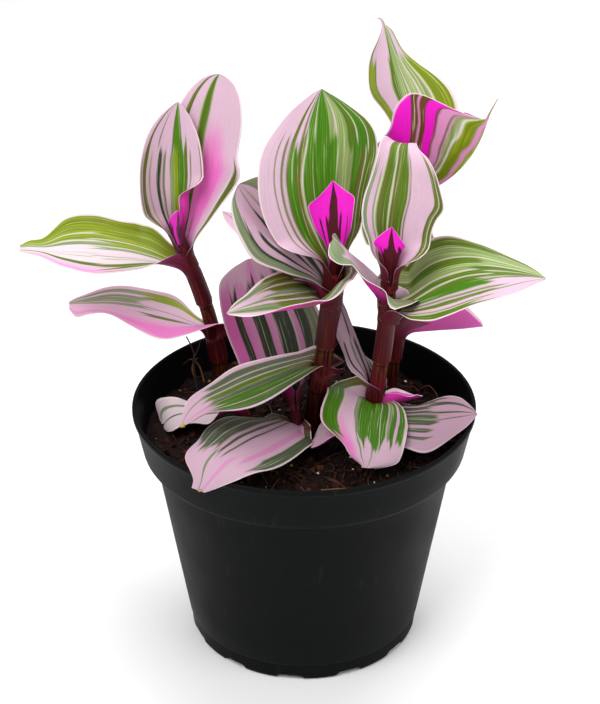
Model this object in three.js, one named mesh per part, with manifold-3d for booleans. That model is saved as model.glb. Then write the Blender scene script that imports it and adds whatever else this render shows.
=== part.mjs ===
// A tradescantia with striped leaves, rooted in potting soil in a plain round nursery pot.
// Millimetres, +Z up. The origin is the middle of the pot's underside, and -Y is the plant's front.
import * as THREE from "three";
import { mergeVertices } from "three/addons/utils/BufferGeometryUtils.js";
import Module from "manifold-3d";

// Driving dimensions of the pot.
const POT_HEIGHT = 86;
const RIM_RADIUS = 57;
const BAND_HEIGHT = 16.6;
const BAND_FOOT_RADIUS = 53.9;
const SHOULDER_RADIUS = 50.2;
const WALL_FOOT_RADIUS = 40.2;
const FOOT_RADIUS = 39.4;
const FOOT_HEIGHT = 6;
const BAND_FOOT = POT_HEIGHT - BAND_HEIGHT;
const POT_WALL = 1.3;
const LIP_HEIGHT = 1.6;
const LIP_STEP = 0.4;
const BAND_LEDGE = 1.4;
const FOOT_STEP = 0.8;
const POT_FLOOR = 2.6;
const INSIDE_LEDGE = BAND_FOOT + 2;
const INSIDE_SHOULDER = BAND_FOOT + 0.4;
const INSIDE_FOOT = FOOT_HEIGHT + 1.6;
const POT_SIDES = 40;

// Drain channels under the pot's edge. Each is a notch in the foot with a hole above it.
const CHANNELS = 12;
const CHANNEL_TURN = -97;
const CHANNEL_WIDTH = 8.2;
const CHANNEL_HEIGHT = 2;
const CHANNEL_INNER_RADIUS = 27;
const DRAIN_HOLE_RADIUS = 2.6;
const DRAIN_HOLE_AT = 31.5;

// Soil and what stands in it.
const SOIL_LEVEL = 76;
const SOIL_RELIEF = 0.9;
const SOIL_RINGS = 4;
const ROOTED_DEPTH = 14;
const ROOT_TURN = 1 / 70;
const CLEARANCE = 0.3;

// Leaves. A leaf's lower part is a sheath, which is rolled round the stem and opens into the blade.
const BLADE_THICKNESS = 0.7;
const STATION_LENGTH = 6.5;
const FEWEST_STATIONS = 6;
const STATION_GROWTH = 1.3;
const SHEATH_STEP = 7;
const STRIP_WIDTH = 5;
const MIDRIB_STEP = 0.5;
const SHEATH_WRAP = 165;
const SHEATH_GAP = 1.2;
const MOUTH_LENGTH = 8;
const OPENING_LENGTH = 14;
const WIDEST_AT = 0.42;
const BASE_SHARE = 0.35;
const TIP_TAPER = 0.7;
const HOOK_FROM = 0.65;
const TURN_LENGTH = 9;
const TIP_WIDTH = 0.8;
const ROLL_BY = 0.35;
const FLATTEST_ARCH = 0.02;
const WAVE_HEIGHT = 0.7;
const WAVES = 1.5;

const STEM_SIDES = 8;
const STEM_STEPS = 6;

const rad = THREE.MathUtils.degToRad;
const mix = THREE.MathUtils.lerp;
const smooth = (x) => THREE.MathUtils.smoothstep(x, 0, 1);

// The stems. Each leaves the soil at foot, bows towards bow and ends at top, at that height above the soil.
const STEMS = {
  left: { foot: [-29.4, 37], bow: [-31.5, 36], top: [-41, 32.5], height: 50, radius: [2.8, 2.2] },
  centre: { foot: [2.4, 0], bow: [7.5, -2], top: [9.4, -4], height: 58, radius: [3.3, 2.7] },
  right: { foot: [21, -4], bow: [26, -7], top: [26.8, -9], height: 57, radius: [2.8, 2.2] },
  back: { foot: [30, 23], bow: [33, 25], top: [40, 26], height: 76, radius: [2.1, 1.8] },
  short: { foot: [-2, -9.5], bow: [-2.2, -7.5], top: [-3.2, -3.5], height: 9, radius: [1.6, 1.3] },
  low: { foot: [-19, 4], bow: [-20, 4], top: [-21, 4], height: 4, radius: [1.4, 1.3] },
};

// The leaves. from is the height on the stem where the sheath starts, and side the compass direction that the
// leaf takes (0 is +X, 90 is +Y). rise is the blade's slope at its base, droop what it loses by the tip, and
// hook what the last third adds. cup is the arch across the blade, with its edges up where it is positive, and
// otherCup that of its other half where it differs. fold is the crease at the midrib, and roll turns the blade
// about it. lean tilts the blade sideways, and swing changes that by the tip. base is the base's share of the
// width, widest where the blade is widest, taper how blunt its tip is and mouth how soon the sheath widens.
const LEAVES = [
  { name: "left_leaf_low", stem: "left", from: 6, sheath: 9, side: 190, length: 51, width: 27, rise: 30,
    droop: 38, cup: -10, otherCup: 35, roll: -8, base: 0.7, widest: 0.35, taper: 0.9 },
  { name: "left_leaf_side", stem: "left", from: 29, sheath: 13, side: 186, length: 58, width: 32, rise: 22,
    droop: 28, cup: -10, otherCup: 50, roll: -6, base: 0.3, widest: 0.55 },
  { name: "left_leaf_back", stem: "left", from: 43, sheath: 4, side: 70, length: 62, width: 29, rise: 74,
    droop: 0, cup: 30, roll: 10, lean: -11, swing: 7, base: 0.25 },
  { name: "left_leaf_front", stem: "left", from: 47, sheath: 3, side: 100, length: 48, width: 26, rise: 80,
    droop: 0, cup: 60, lean: 2, swing: -13, radius: 2.2 },
  { name: "left_leaf_young", stem: "left", from: 50.3, sheath: 2, side: 300, length: 17, width: 12,
    rise: 84, droop: 0, cup: 90, radius: 1.2, young: true },
  { name: "centre_leaf_low", stem: "centre", from: 16, sheath: 5, side: 212, length: 55, width: 25,
    rise: -3, droop: 12, cup: 15, base: 0.5 },
  { name: "centre_leaf_front", stem: "centre", from: 32, sheath: 14, side: 222, length: 44, width: 28,
    rise: 16, droop: 12, cup: 60, base: 1.1 },
  { name: "centre_leaf_far", stem: "centre", from: 45, sheath: 2, side: 143, length: 48, width: 18,
    rise: 24, droop: 0, cup: 30 },
  { name: "centre_leaf_behind", stem: "centre", from: 48, sheath: 3.5, side: 158, length: 45, width: 40,
    rise: 46, droop: 4, cup: 20, base: 0.5 },
  { name: "centre_leaf_upright", stem: "centre", from: 54, sheath: 4, side: 97, length: 58, width: 37,
    rise: 74, droop: 0, cup: 30, lean: 19, swing: -32 },
  { name: "centre_leaf_young", stem: "centre", from: 58.5, sheath: 3, side: 268, length: 30, width: 18,
    rise: 88, droop: 0, cup: 75, lean: -6, radius: 1.6, widest: 0.52, taper: 1.1, young: true },
  { name: "right_leaf_front_low", stem: "right", from: 0.9, sheath: 1, side: 226, length: 28, width: 16,
    rise: 2, droop: 4, cup: 50, roll: 20 },
  { name: "right_leaf_low", stem: "right", from: 2.5, sheath: 1, side: 350, length: 36.5,
    width: 26, rise: 10, droop: 0, cup: 15, roll: 10 },
  { name: "right_leaf_scrap", stem: "right", from: 5, sheath: 1.5, side: 22, length: 18, width: 13,
    rise: 2, droop: 0, cup: 60, roll: -20 },
  { name: "right_leaf_collar", stem: "right", from: 9, sheath: 2, side: 259, length: 33,
    width: 30, rise: 8, droop: 64, cup: 20, roll: -16, base: 1, widest: 0.35, taper: 0.6 },
  { name: "right_leaf_back", stem: "right", from: 14, sheath: 3, side: 110, length: 36, width: 21,
    rise: 62, droop: 0, cup: 20, roll: -18 },
  { name: "right_leaf_side", stem: "right", from: 29, sheath: 15, side: 352, length: 51, width: 37,
    rise: 42, droop: 52, cup: 20, roll: 16 },
  { name: "right_leaf_front", stem: "right", from: 41, sheath: 8, side: 252, length: 38, width: 37,
    rise: 33, droop: 0, cup: 14, roll: -28, base: 0.2, widest: 0.5 },
  { name: "right_leaf_upright", stem: "right", from: 55.5, sheath: 3, side: 88, length: 51, width: 28,
    rise: 80, droop: 0, cup: 30, lean: -7, hook: -110 },
  { name: "right_leaf_young", stem: "right", from: 57.5, sheath: 2, side: 270, length: 18, width: 14,
    rise: 88, droop: 0, cup: 75, radius: 1.4, widest: 0.52, taper: 1.1, young: true },
  { name: "back_leaf_low", stem: "back", from: 13, sheath: 7, side: 340, length: 31, width: 32, rise: 16,
    droop: 4, cup: 20, fold: 35, roll: -30, base: 0.9 },
  { name: "back_leaf_behind", stem: "back", from: 36, sheath: 6, side: 100, length: 42, width: 26,
    rise: 15, droop: 10, cup: 25 },
  { name: "back_leaf_front", stem: "back", from: 61, sheath: 8, side: 306, length: 47, width: 50, rise: 44,
    droop: -24, cup: 25, roll: 12, base: 0.75, widest: 0.42, mouth: 6, otherCup: 12, fold: 66,
    taper: 0.55 },
  { name: "back_leaf_top", stem: "back", from: 73, sheath: 3, side: 130, length: 55, width: 33, rise: 62,
    droop: 0, cup: 30 },
  { name: "short_leaf_front", stem: "short", from: 0.9, sheath: 1, side: 237, length: 60, width: 32,
    rise: 14, droop: 8, cup: -20, roll: -8, hook: -60 },
  { name: "short_leaf_back", stem: "short", from: 5, sheath: 3, side: 100, length: 54, width: 38, rise: 54,
    droop: 0, cup: 25, lean: 27, base: 0.15 },
  { name: "low_leaf", stem: "low", from: 0.9, sheath: 0.6, side: 187, length: 29, width: 20, rise: 0,
    droop: 0, cup: 10, roll: -12 },
];

const wasm = await Module();
wasm.setup();

// Turns a closed geometry into a manifold-3d solid.
function solidOf(geometry) {
  const bare = geometry.clone();
  bare.deleteAttribute("normal");
  bare.deleteAttribute("uv");
  const merged = mergeVertices(bare, 1e-4);
  const mesh = new wasm.Mesh({
    numProp: 3,
    vertProperties: merged.attributes.position.array,
    triVerts: new Uint32Array(merged.index.array),
  });
  return new wasm.Manifold(mesh);
}

// Turns a solid's largest body back into a geometry.
function geometryOf(solid) {
  const bodies = solid.decompose().sort((a, b) => b.volume() - a.volume());
  const mesh = bodies[0].getMesh();
  const geometry = new THREE.BufferGeometry();
  geometry.setAttribute("position", new THREE.BufferAttribute(mesh.vertProperties, 3));
  geometry.setIndex(new THREE.BufferAttribute(mesh.triVerts, 1));
  geometry.computeVertexNormals();
  return geometry;
}

// Closes a row of equal rings of points into a skin. Each ring runs once round the body, and pattern says how
// the faces between two rings and at the ends are split.
function skin(rings, pattern) {
  const count = rings[0].length;
  const positions = rings.flat().flatMap((p) => [p.x, p.y, p.z]);
  const faces = [];
  for (let j = 0; j + 1 < rings.length; j++) {
    for (let i = 0; i < count; i++) {
      const [a, b] = [j * count + i, j * count + ((i + 1) % count)];
      faces.push(...pattern.split(i, a, b, count));
    }
  }
  const last = (rings.length - 1) * count;
  for (const [a, b, c] of pattern.cap(count)) {
    faces.push(a, c, b, last + a, last + b, last + c);
  }
  const geometry = new THREE.BufferGeometry();
  geometry.setAttribute("position", new THREE.Float32BufferAttribute(positions, 3));
  geometry.setIndex(faces);
  geometry.computeVertexNormals();
  return geometry;
}

// A point and direction on a stem's line, at a height above the soil.
function stemAt(stem, height) {
  const u = Math.max(0, height) / stem.height;
  const inward = 1 + Math.min(0, height) * ROOT_TURN;
  const at = (k) =>
    inward * (1 - u) ** 2 * stem.foot[k] + 2 * u * (1 - u) * stem.bow[k] + u * u * stem.top[k];
  const slope = (k) =>
    (2 * (1 - u) * (stem.bow[k] - stem.foot[k]) + 2 * u * (stem.top[k] - stem.bow[k])) / stem.height;
  return {
    point: new THREE.Vector3(at(0), at(1), SOIL_LEVEL + height),
    along: new THREE.Vector3(slope(0), slope(1), 1).normalize(),
    radius: mix(stem.radius[0], stem.radius[1], Math.max(0, Math.min(1, u))),
  };
}

const roundSkin = {
  split: (i, a, b, count) => [a, b, b + count, a, b + count, a + count],
  cap: (count) => Array.from({ length: count - 2 }, (_, i) => [0, i + 1, i + 2]),
};

// A stem as a tube, extra thicker all round and running from one height to another.
function stemGeometry(stem, extra, low, high) {
  const rings = [];
  for (let j = 0; j <= STEM_STEPS; j++) {
    const { point, along, radius } = stemAt(stem, mix(low, high, j / STEM_STEPS));
    const across = new THREE.Vector3(1, 0, 0).addScaledVector(along, -along.x).normalize();
    const other = along.clone().cross(across);
    const ring = [];
    for (let i = 0; i < STEM_SIDES; i++) {
      const angle = (i / STEM_SIDES) * 2 * Math.PI;
      const r = radius + extra;
      ring.push(
        point.clone().addScaledVector(across, r * Math.cos(angle)).addScaledVector(other, r * Math.sin(angle)),
      );
    }
    rings.push(ring);
  }
  return skin(rings, roundSkin);
}

// The blade's half width at t, from 0 at its base to 1 at its tip.
function bladeHalfWidth(leaf, t) {
  const widest = leaf.widest ?? WIDEST_AT;
  const base = leaf.base ?? BASE_SHARE;
  const taper = leaf.taper ?? TIP_TAPER;
  const share =
    t < widest
      ? mix(base, 1, Math.sin((Math.PI / 2) * Math.max(0, t / widest)))
      : Math.cos((Math.PI / 2) * ((t - widest) / (1 - widest))) ** taper;
  return Math.max((leaf.width / 2) * share, TIP_WIDTH / 2);
}

// The leaf's frame at a distance from the foot of its sheath: where its midrib is there, how the blade is
// turned, how far it reaches to each side and how much it is rolled up.
function leafFrame(leaf, place, distance) {
  const past = distance - leaf.sheath;
  const t = Math.max(0, past / leaf.length);
  const hook = (leaf.hook ?? 0) * smooth((t - HOOK_FROM) / (1 - HOOK_FROM));
  const pitch = rad(leaf.rise - leaf.droop * t + hook);
  const side = rad(leaf.side);
  const lean = rad((leaf.lean ?? 0) + (leaf.swing ?? 0) * t);
  const level = new THREE.Vector3(-Math.sin(side), Math.cos(side), 0);
  const out = new THREE.Vector3(
    Math.cos(pitch) * Math.cos(side),
    Math.cos(pitch) * Math.sin(side),
    Math.sin(pitch),
  );
  out.multiplyScalar(Math.cos(lean)).addScaledVector(level, Math.sin(lean));
  const onStem = stemAt(STEMS[leaf.stem], leaf.from + Math.min(distance, leaf.sheath));
  const along = onStem.along.clone().lerp(out, smooth((past + 1) / TURN_LENGTH)).normalize();
  const across = level.addScaledVector(along, -level.dot(along)).normalize();
  across.applyAxisAngle(along, rad((leaf.roll ?? 0) * smooth(t / ROLL_BY)));
  const up = along.clone().cross(across);
  const sheathRadius = leaf.radius ?? onStem.radius + SHEATH_GAP;
  const rolled = sheathRadius * rad(SHEATH_WRAP);
  const halfWidth = mix(rolled, bladeHalfWidth(leaf, t), smooth(past / (leaf.mouth ?? MOUTH_LENGTH)));
  const wraps = [leaf.cup, leaf.otherCup ?? leaf.cup].map((cup) => {
    const bladeCurve = rad(cup) / (leaf.width / 2);
    return halfWidth * mix(1 / sheathRadius, bladeCurve, smooth(past / OPENING_LENGTH));
  });
  if (past <= 0) {
    place.copy(onStem.point).addScaledVector(up, -sheathRadius);
  }
  return { t, past, place: place.clone(), along, across, up, halfWidth, wraps };
}

// The frames at the leaf's stations, found by following its midrib in short steps.
function leafFrames(leaf) {
  const sheathSteps = Math.max(1, Math.round(leaf.sheath / SHEATH_STEP));
  const stations = Array.from({ length: sheathSteps }, (_, i) => (i / sheathSteps) * leaf.sheath);
  const bladeSteps = Math.max(FEWEST_STATIONS, Math.round(leaf.length / STATION_LENGTH));
  for (let i = 0; i <= bladeSteps; i++) {
    stations.push(leaf.sheath + leaf.length * (i / bladeSteps) ** STATION_GROWTH);
  }
  const place = new THREE.Vector3();
  let distance = 0;
  return stations.map((station) => {
    while (distance + MIDRIB_STEP < station) {
      const frame = leafFrame(leaf, place, distance);
      place.addScaledVector(frame.along, distance < leaf.sheath ? 0 : MIDRIB_STEP);
      distance += MIDRIB_STEP;
    }
    const frame = leafFrame(leaf, place, distance);
    place.addScaledVector(frame.along, distance < leaf.sheath ? 0 : station - distance);
    distance = station;
    return leafFrame(leaf, place, distance);
  });
}

// A point of the blade: v runs across it from -1 to 1, and lift is the distance from its middle surface.
// Each half is an arc, which starts at the midrib with the slope fold.
function leafPoint(leaf, frame, v, lift) {
  const wrap = frame.wraps[v < 0 ? 1 : 0];
  const arch = Math.abs(wrap) < FLATTEST_ARCH ? FLATTEST_ARCH : wrap;
  const radius = frame.halfWidth / arch;
  const fold = v === 0 ? 0 : rad(leaf.fold ?? 0) * smooth(frame.past / OPENING_LENGTH);
  const angle = Math.abs(v) * arch + fold;
  const sign = Math.sign(v);
  const edge = WAVE_HEIGHT * v ** 4 * smooth(frame.t / 0.3) * smooth((1 - frame.t) / 0.2);
  const wave = edge * Math.sin(2 * Math.PI * WAVES * frame.t + leaf.side + sign);
  const sideways = radius * (Math.sin(angle) - Math.sin(fold)) - lift * Math.sin(angle);
  const height = radius * (Math.cos(fold) - Math.cos(angle)) + lift * Math.cos(angle) + wave;
  return frame.place
    .clone()
    .addScaledVector(frame.across, sign * sideways)
    .addScaledVector(frame.up, height);
}

// A leaf's skin is a ring round each cross-section: its upper face one way and its lower face back.
// Both faces of a strip are split along the same diagonal.
const leafSkin = {
  split: (i, a, b, count) =>
    i < count / 2
      ? [a, b + count, b, a, a + count, b + count]
      : [a, a + count, b, b, a + count, b + count],
  cap: (count) => {
    const faces = [];
    for (let i = 0; i + 1 < count / 2; i++) {
      const j = count - 1 - i;
      faces.push([i, j - 1, i + 1], [i, j, j - 1]);
    }
    return faces;
  },
};

// A leaf, extra thicker, wider and longer all round.
function leafGeometry(leaf, extra = 0) {
  const frames = leafFrames(leaf);
  frames[0].place.addScaledVector(frames[0].along, -extra);
  frames.at(-1).place.addScaledVector(frames.at(-1).along, extra);
  const half = BLADE_THICKNESS / 2 + extra;
  const strips = 2 * Math.max(2, Math.round(leaf.width / 2 / STRIP_WIDTH));
  const rings = [];
  for (const frame of frames) {
    const upper = [];
    const lower = [];
    for (let i = 0; i <= strips; i++) {
      const v = ((i / strips) * 2 - 1) * (1 + extra / frame.halfWidth);
      upper.push(leafPoint(leaf, frame, v, half));
      lower.unshift(leafPoint(leaf, frame, v, -half));
    }
    rings.push([...upper, ...lower]);
  }
  return skin(rings, leafSkin);
}

function material(color, roughness) {
  return new THREE.MeshStandardMaterial({ color, roughness, metalness: 0 });
}

const LEAF_MATERIAL = material("#8fae6a", 0.45);
const YOUNG_MATERIAL = material("#e233c8", 0.4);
const STEM_MATERIAL = material("#6d2433", 0.45);
const POT_MATERIAL = material("#1c1f1f", 0.5);
const SOIL_MATERIAL = material("#2a1a14", 0.95);

// The pot is a turned shell with a foot, a tapering wall and a wide band at its rim.
function potSolid() {
  const outside = [
    [0, 0],
    [FOOT_RADIUS - FOOT_STEP, 0],
    [FOOT_RADIUS, FOOT_STEP],
    [FOOT_RADIUS, FOOT_HEIGHT],
    [WALL_FOOT_RADIUS, FOOT_HEIGHT + FOOT_STEP],
    [SHOULDER_RADIUS, BAND_FOOT - LIP_STEP],
    [BAND_FOOT_RADIUS - BAND_LEDGE, BAND_FOOT],
    [BAND_FOOT_RADIUS, BAND_FOOT + BAND_LEDGE],
    [RIM_RADIUS - LIP_STEP, POT_HEIGHT - LIP_HEIGHT - LIP_STEP],
    [RIM_RADIUS, POT_HEIGHT - LIP_HEIGHT],
    [RIM_RADIUS, POT_HEIGHT],
  ];
  const inside = [
    [RIM_RADIUS - POT_WALL, POT_HEIGHT],
    [BAND_FOOT_RADIUS - POT_WALL, INSIDE_LEDGE],
    [SHOULDER_RADIUS - POT_WALL, INSIDE_SHOULDER],
    [WALL_FOOT_RADIUS - POT_WALL, INSIDE_FOOT],
    [FOOT_RADIUS - POT_WALL, POT_FLOOR],
    [0, POT_FLOOR],
  ];
  const points = [...outside, ...inside].map(([radius, height]) => new THREE.Vector2(radius, height));
  const turned = new THREE.LatheGeometry(points, POT_SIDES);
  turned.rotateX(Math.PI / 2);
  return solidOf(turned);
}

// A drain channel's space, with the hole above it that goes through the pot's floor.
function channelSolid(turn) {
  const length = RIM_RADIUS - CHANNEL_INNER_RADIUS;
  const notch = new THREE.BoxGeometry(length, CHANNEL_WIDTH, 2 * CHANNEL_HEIGHT);
  notch.translate(CHANNEL_INNER_RADIUS + length / 2, 0, 0);
  notch.rotateZ(rad(turn));
  return solidOf(notch);
}

function drainHoleSolid(turn) {
  const hole = new THREE.CylinderGeometry(DRAIN_HOLE_RADIUS, DRAIN_HOLE_RADIUS, 3 * POT_FLOOR, 10);
  hole.rotateX(Math.PI / 2);
  hole.translate(DRAIN_HOLE_AT, 0, 0);
  hole.rotateZ(rad(turn));
  return solidOf(hole);
}

// The radius inside the pot at a height.
function insideRadius(height) {
  if (height > INSIDE_LEDGE) {
    const share = (height - INSIDE_LEDGE) / (POT_HEIGHT - INSIDE_LEDGE);
    return mix(BAND_FOOT_RADIUS, RIM_RADIUS, share) - POT_WALL;
  }
  const share = (height - INSIDE_FOOT) / (INSIDE_SHOULDER - INSIDE_FOOT);
  return mix(WALL_FOOT_RADIUS, SHOULDER_RADIUS, Math.min(1, share)) - POT_WALL;
}

// The soil's surface is uneven by a sum of slow waves, and dips a little at the pot's wall.
function soilHeight(x, y) {
  const waves =
    Math.sin(0.19 * x + 0.11 * y) + Math.sin(0.27 * y - 0.09 * x + 1) + 0.6 * Math.sin(0.41 * x - 0.33 * y + 2);
  return SOIL_LEVEL + (SOIL_RELIEF * (waves - 1.4)) / 2.6;
}

function soilSolid() {
  const profile = [INSIDE_FOOT, INSIDE_SHOULDER, INSIDE_LEDGE];
  const edge = insideRadius(SOIL_LEVEL - SOIL_RELIEF) - CLEARANCE;
  const points = [
    new THREE.Vector2(0, POT_FLOOR + CLEARANCE),
    new THREE.Vector2(FOOT_RADIUS - POT_WALL - 2 * CLEARANCE, POT_FLOOR + CLEARANCE),
    ...profile.map((height) => new THREE.Vector2(insideRadius(height) - CLEARANCE, height)),
  ];
  for (let ring = SOIL_RINGS; ring >= 0; ring--) {
    points.push(new THREE.Vector2((edge * ring) / SOIL_RINGS, SOIL_LEVEL));
  }
  const soil = new THREE.LatheGeometry(points, POT_SIDES);
  soil.rotateX(Math.PI / 2);
  const position = soil.attributes.position;
  for (let i = 0; i < position.count; i++) {
    if (Math.abs(position.getZ(i) - SOIL_LEVEL) < 0.01) {
      position.setZ(i, soilHeight(position.getX(i), position.getY(i)));
    }
  }
  return solidOf(soil);
}

const plant = new THREE.Group();

function addNode(name, geometry, look) {
  const mesh = new THREE.Mesh(geometry, look);
  mesh.name = name;
  plant.add(mesh);
}

let pot = potSolid();
for (let i = 0; i < CHANNELS; i++) {
  const turn = CHANNEL_TURN + (360 * i) / CHANNELS;
  pot = pot.subtract(channelSolid(turn)).subtract(drainHoleSolid(turn));
}
addNode("pot", geometryOf(pot), POT_MATERIAL);

let soil = soilSolid();
for (const stem of Object.values(STEMS)) {
  soil = soil.subtract(solidOf(stemGeometry(stem, CLEARANCE, -ROOTED_DEPTH - CLEARANCE, stem.height)));
}
addNode("soil", geometryOf(soil), SOIL_MATERIAL);

for (const [name, stem] of Object.entries(STEMS)) {
  addNode("stem_" + name, stemGeometry(stem, 0, -ROOTED_DEPTH, stem.height), STEM_MATERIAL);
}

// Each leaf is open where the stem and the younger leaves of its shoot pass through it.
LEAVES.forEach((leaf, index) => {
  const stem = STEMS[leaf.stem];
  let blade = solidOf(leafGeometry(leaf)).subtract(solidOf(stemGeometry(stem, CLEARANCE, -1, stem.height)));
  for (const younger of LEAVES.slice(index + 1)) {
    if (younger.stem === leaf.stem) {
      blade = blade.subtract(solidOf(leafGeometry(younger, CLEARANCE)));
      blade = blade.subtract(solidOf(leafGeometry(younger)));
    }
  }
  addNode(leaf.name, geometryOf(blade), leaf.young ? YOUNG_MATERIAL : LEAF_MATERIAL);
});

export default plant;
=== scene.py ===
"""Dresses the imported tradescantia: striped leaves, jointed stems, potting soil and a black nursery pot."""
import random
from math import atan2, cos, dist, exp, hypot, pi, radians, sin

import bmesh
import bpy
from bpy.props import FloatProperty, FloatVectorProperty, IntProperty, PointerProperty
from mathutils import Matrix, Quaternion, Vector, noise


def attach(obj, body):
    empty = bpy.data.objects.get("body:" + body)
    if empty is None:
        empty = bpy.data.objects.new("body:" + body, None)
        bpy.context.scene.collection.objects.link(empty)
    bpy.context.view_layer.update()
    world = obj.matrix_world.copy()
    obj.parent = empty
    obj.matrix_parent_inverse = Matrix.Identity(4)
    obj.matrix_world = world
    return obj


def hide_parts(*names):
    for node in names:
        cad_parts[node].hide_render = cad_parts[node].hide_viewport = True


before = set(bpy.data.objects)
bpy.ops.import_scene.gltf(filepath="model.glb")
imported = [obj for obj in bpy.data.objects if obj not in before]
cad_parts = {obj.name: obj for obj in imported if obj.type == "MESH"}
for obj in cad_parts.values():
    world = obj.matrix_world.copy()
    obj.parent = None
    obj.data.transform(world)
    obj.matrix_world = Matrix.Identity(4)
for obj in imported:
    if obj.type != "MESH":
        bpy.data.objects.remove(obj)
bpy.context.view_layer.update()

bl_info = {
    "name": "Potted Tradescantia",
    "version": (1, 0, 0),
    "blender": (4, 5, 0),
    "location": "3D View > Sidebar > Tradescantia",
    "description": "Makes a potted tradescantia with striped leaves around its packed part",
    "category": "Add Mesh",
}

# Lengths below are in millimetres and angles in degrees, as the part's source has them. MM makes them metres.
MM = 0.001

# The pot's outside and inside, each corner as (radius, height, rounding), from the underside to the rim.
POT_OUTSIDE = (
    (27, 0, 0), (38.6, 0, 0.5), (39.4, 0.9, 0.5), (39.4, 5.9, 0.3), (40.2, 6.8, 0.3),
    (50.2, 69, 0.5), (52.4, 69.4, 0.5), (53.9, 70.9, 0.9), (56.45, 84, 0.3), (57, 84.5, 0.3),
)
POT_INSIDE = (
    (57, 86, 0.45), (55.7, 86, 0.45), (52.6, 71.4, 0.5), (48.9, 69.8, 0.5), (38.9, 7.6, 0.5),
    (38.1, 2.6, 0.8),
)
# The height of the floor's top, and the most that two rows of points are apart.
POT_FLOOR = 2.6
POT_ROW = 6
# The channels under the foot run outwards from a radius, and raise the points that are below CHANNEL_REACH.
CHANNELS = 12
CHANNEL_TURN = -97
CHANNEL_START = 26.5
CHANNEL_HALF_WIDTH = 4.1
CHANNEL_HEIGHT = 2
CHANNEL_REACH = 2.4

SOIL_LEVEL = 76
SOIL_EDGE = 53
SOIL_SIDES = 200
# The soil's (radius, height) from its floor up the pot's wall.
SOIL_PROFILE = ((0, 2.9), (37.6, 2.9), (38.5, 7.6), (48.4, 69.8), (52, 71.4), (SOIL_EDGE, 75.2))
# The waves of its top, each as (height, turn for each mm to the right and for each mm away, shift), in radians.
SOIL_WAVES = ((1, 0.19, 0.11, 0), (1, -0.09, 0.27, 1), (0.6, 0.41, -0.33, 2))
LUMP_SIZE = 5
DIP_DEPTH = 0.8
DIP_WIDTH = 7
# What lies on it besides the crumbs, and the colours from dark bark by way of golden bits to white grains.
GOLDEN_BITS = 70
WHITE_GRAINS = 46
FIBRES = 170
CRUMB_TONES = (
    (0, "#130b08"), (0.3, "#24120b"), (0.5, "#3f1e11"), (0.6, "#5c301a"), (0.72, "#8a6230"),
    (0.82, "#a58545"), (0.9, "#cfcabd"), (1, "#e8e6df"),
)

# Each stem leaves the soil at foot, bows towards bow and ends at top, at that height above the soil.
STEMS = {
    "left": dict(foot=(-29.4, 37), bow=(-31.5, 36), top=(-41, 32.5), height=50, radius=(2.8, 2.2)),
    "centre": dict(foot=(2.4, 0), bow=(7.5, -2), top=(9.4, -4), height=58, radius=(3.3, 2.7)),
    "right": dict(foot=(21, -4), bow=(26, -7), top=(26.8, -9), height=57, radius=(2.8, 2.2)),
    "back": dict(foot=(30, 23), bow=(33, 25), top=(40, 26), height=76, radius=(2.1, 1.8)),
    "short": dict(foot=(-2, -9.5), bow=(-2.2, -7.5), top=(-3.2, -3.5), height=9, radius=(1.6, 1.3)),
    "low": dict(foot=(-19, 4), bow=(-20, 4), top=(-21, 4), height=4, radius=(1.4, 1.3)),
}
STEM_ROW = 0.45
# Below the soil a stem leans in by ROOT_TURN of its place for each millimetre, down to its rooted end.
ROOT_TURN = 1 / 70
ROOTED_LENGTH = 6

# Hairs stand round the mouth of each sheath.
HAIRS = 16
HAIR_RADII = (0.05, 0.045, 0.02)
# The leaves with a dry brown tip, and the size of its flakes.
DRY_TIPS = {"centre_leaf_low": 1.2, "short_leaf_front": 0.9, "low_leaf": 0.8}
# The dead twig and the roots, each as its tone from dark to tan, its radius and the points it passes.
TWIGS = (
    (0, 0.55, ((-37, 25, 75), (-38.3, 26, 84), (-37.7, 26.5, 89.5), (-40.4, 27, 95.5))),
    (0, 0.35, ((-38.2, 26, 87), (-36.2, 26.6, 91.5), (-35.6, 27, 94))),
    (1, 0.4, ((-35, 30, 76), (-36.5, 33, 81), (-39.5, 32, 84.5), (-42, 30, 83))),
    (1, 0.3, ((-38, 30, 76), (-39.5, 32, 81), (-37.5, 33.5, 84), (-35.5, 34, 82.5))),
    (1, 0.25, ((40, 24, 76), (43, 22, 79.5), (45.5, 18, 78.5), (46.5, 13, 76.5))),
    (1, 0.25, ((5, -40, 76), (9, -42, 77.6), (14, -41, 77.4), (19, -43, 76))),
)

# The camera that the photograph's view was fitted with, and the studio's lights in metres: place, size, power.
CAMERA_PLACE = (-1.336, -485.48, 362.31)
CAMERA_DOWN = 28.031
SENSOR_WIDTH = 36
LENS = 85.92
LIGHTS = {
    "key": ((-0.5, -0.6, 1.05), 0.7, 9.5),
    "fill": ((0.75, -0.5, 0.7), 0.8, 4),
    "top": ((0.1, 0.4, 1.1), 0.9, 9),
}
LIGHTS_AIM = (0, 0, 0.1)
WORLD_LIGHT = 0.42
FLOOR_REACH = 4

# The gap between a stem and a sheath, how far the sheath wraps to each side, the lengths over which a blade
# turns away from its stem and loses its lobes, the thread at a tip, and where a blade without edges is widest.
SHEATH_GAP = 0.4
SHEATH_WRAP = radians(165)
TURN_LENGTH = 9
LOBE_LENGTH = 18
THREAD_WIDTH = 0.7
THREAD_END = 0.1
WIDEST_PLACE = 0.42
# The steps in which a midrib is followed, and the spacing of a leaf's points across and along it.
MIDRIB_STEP = 0.5
COLUMN_WIDTH = 2.4
ROW_LENGTH = 1.15

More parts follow.
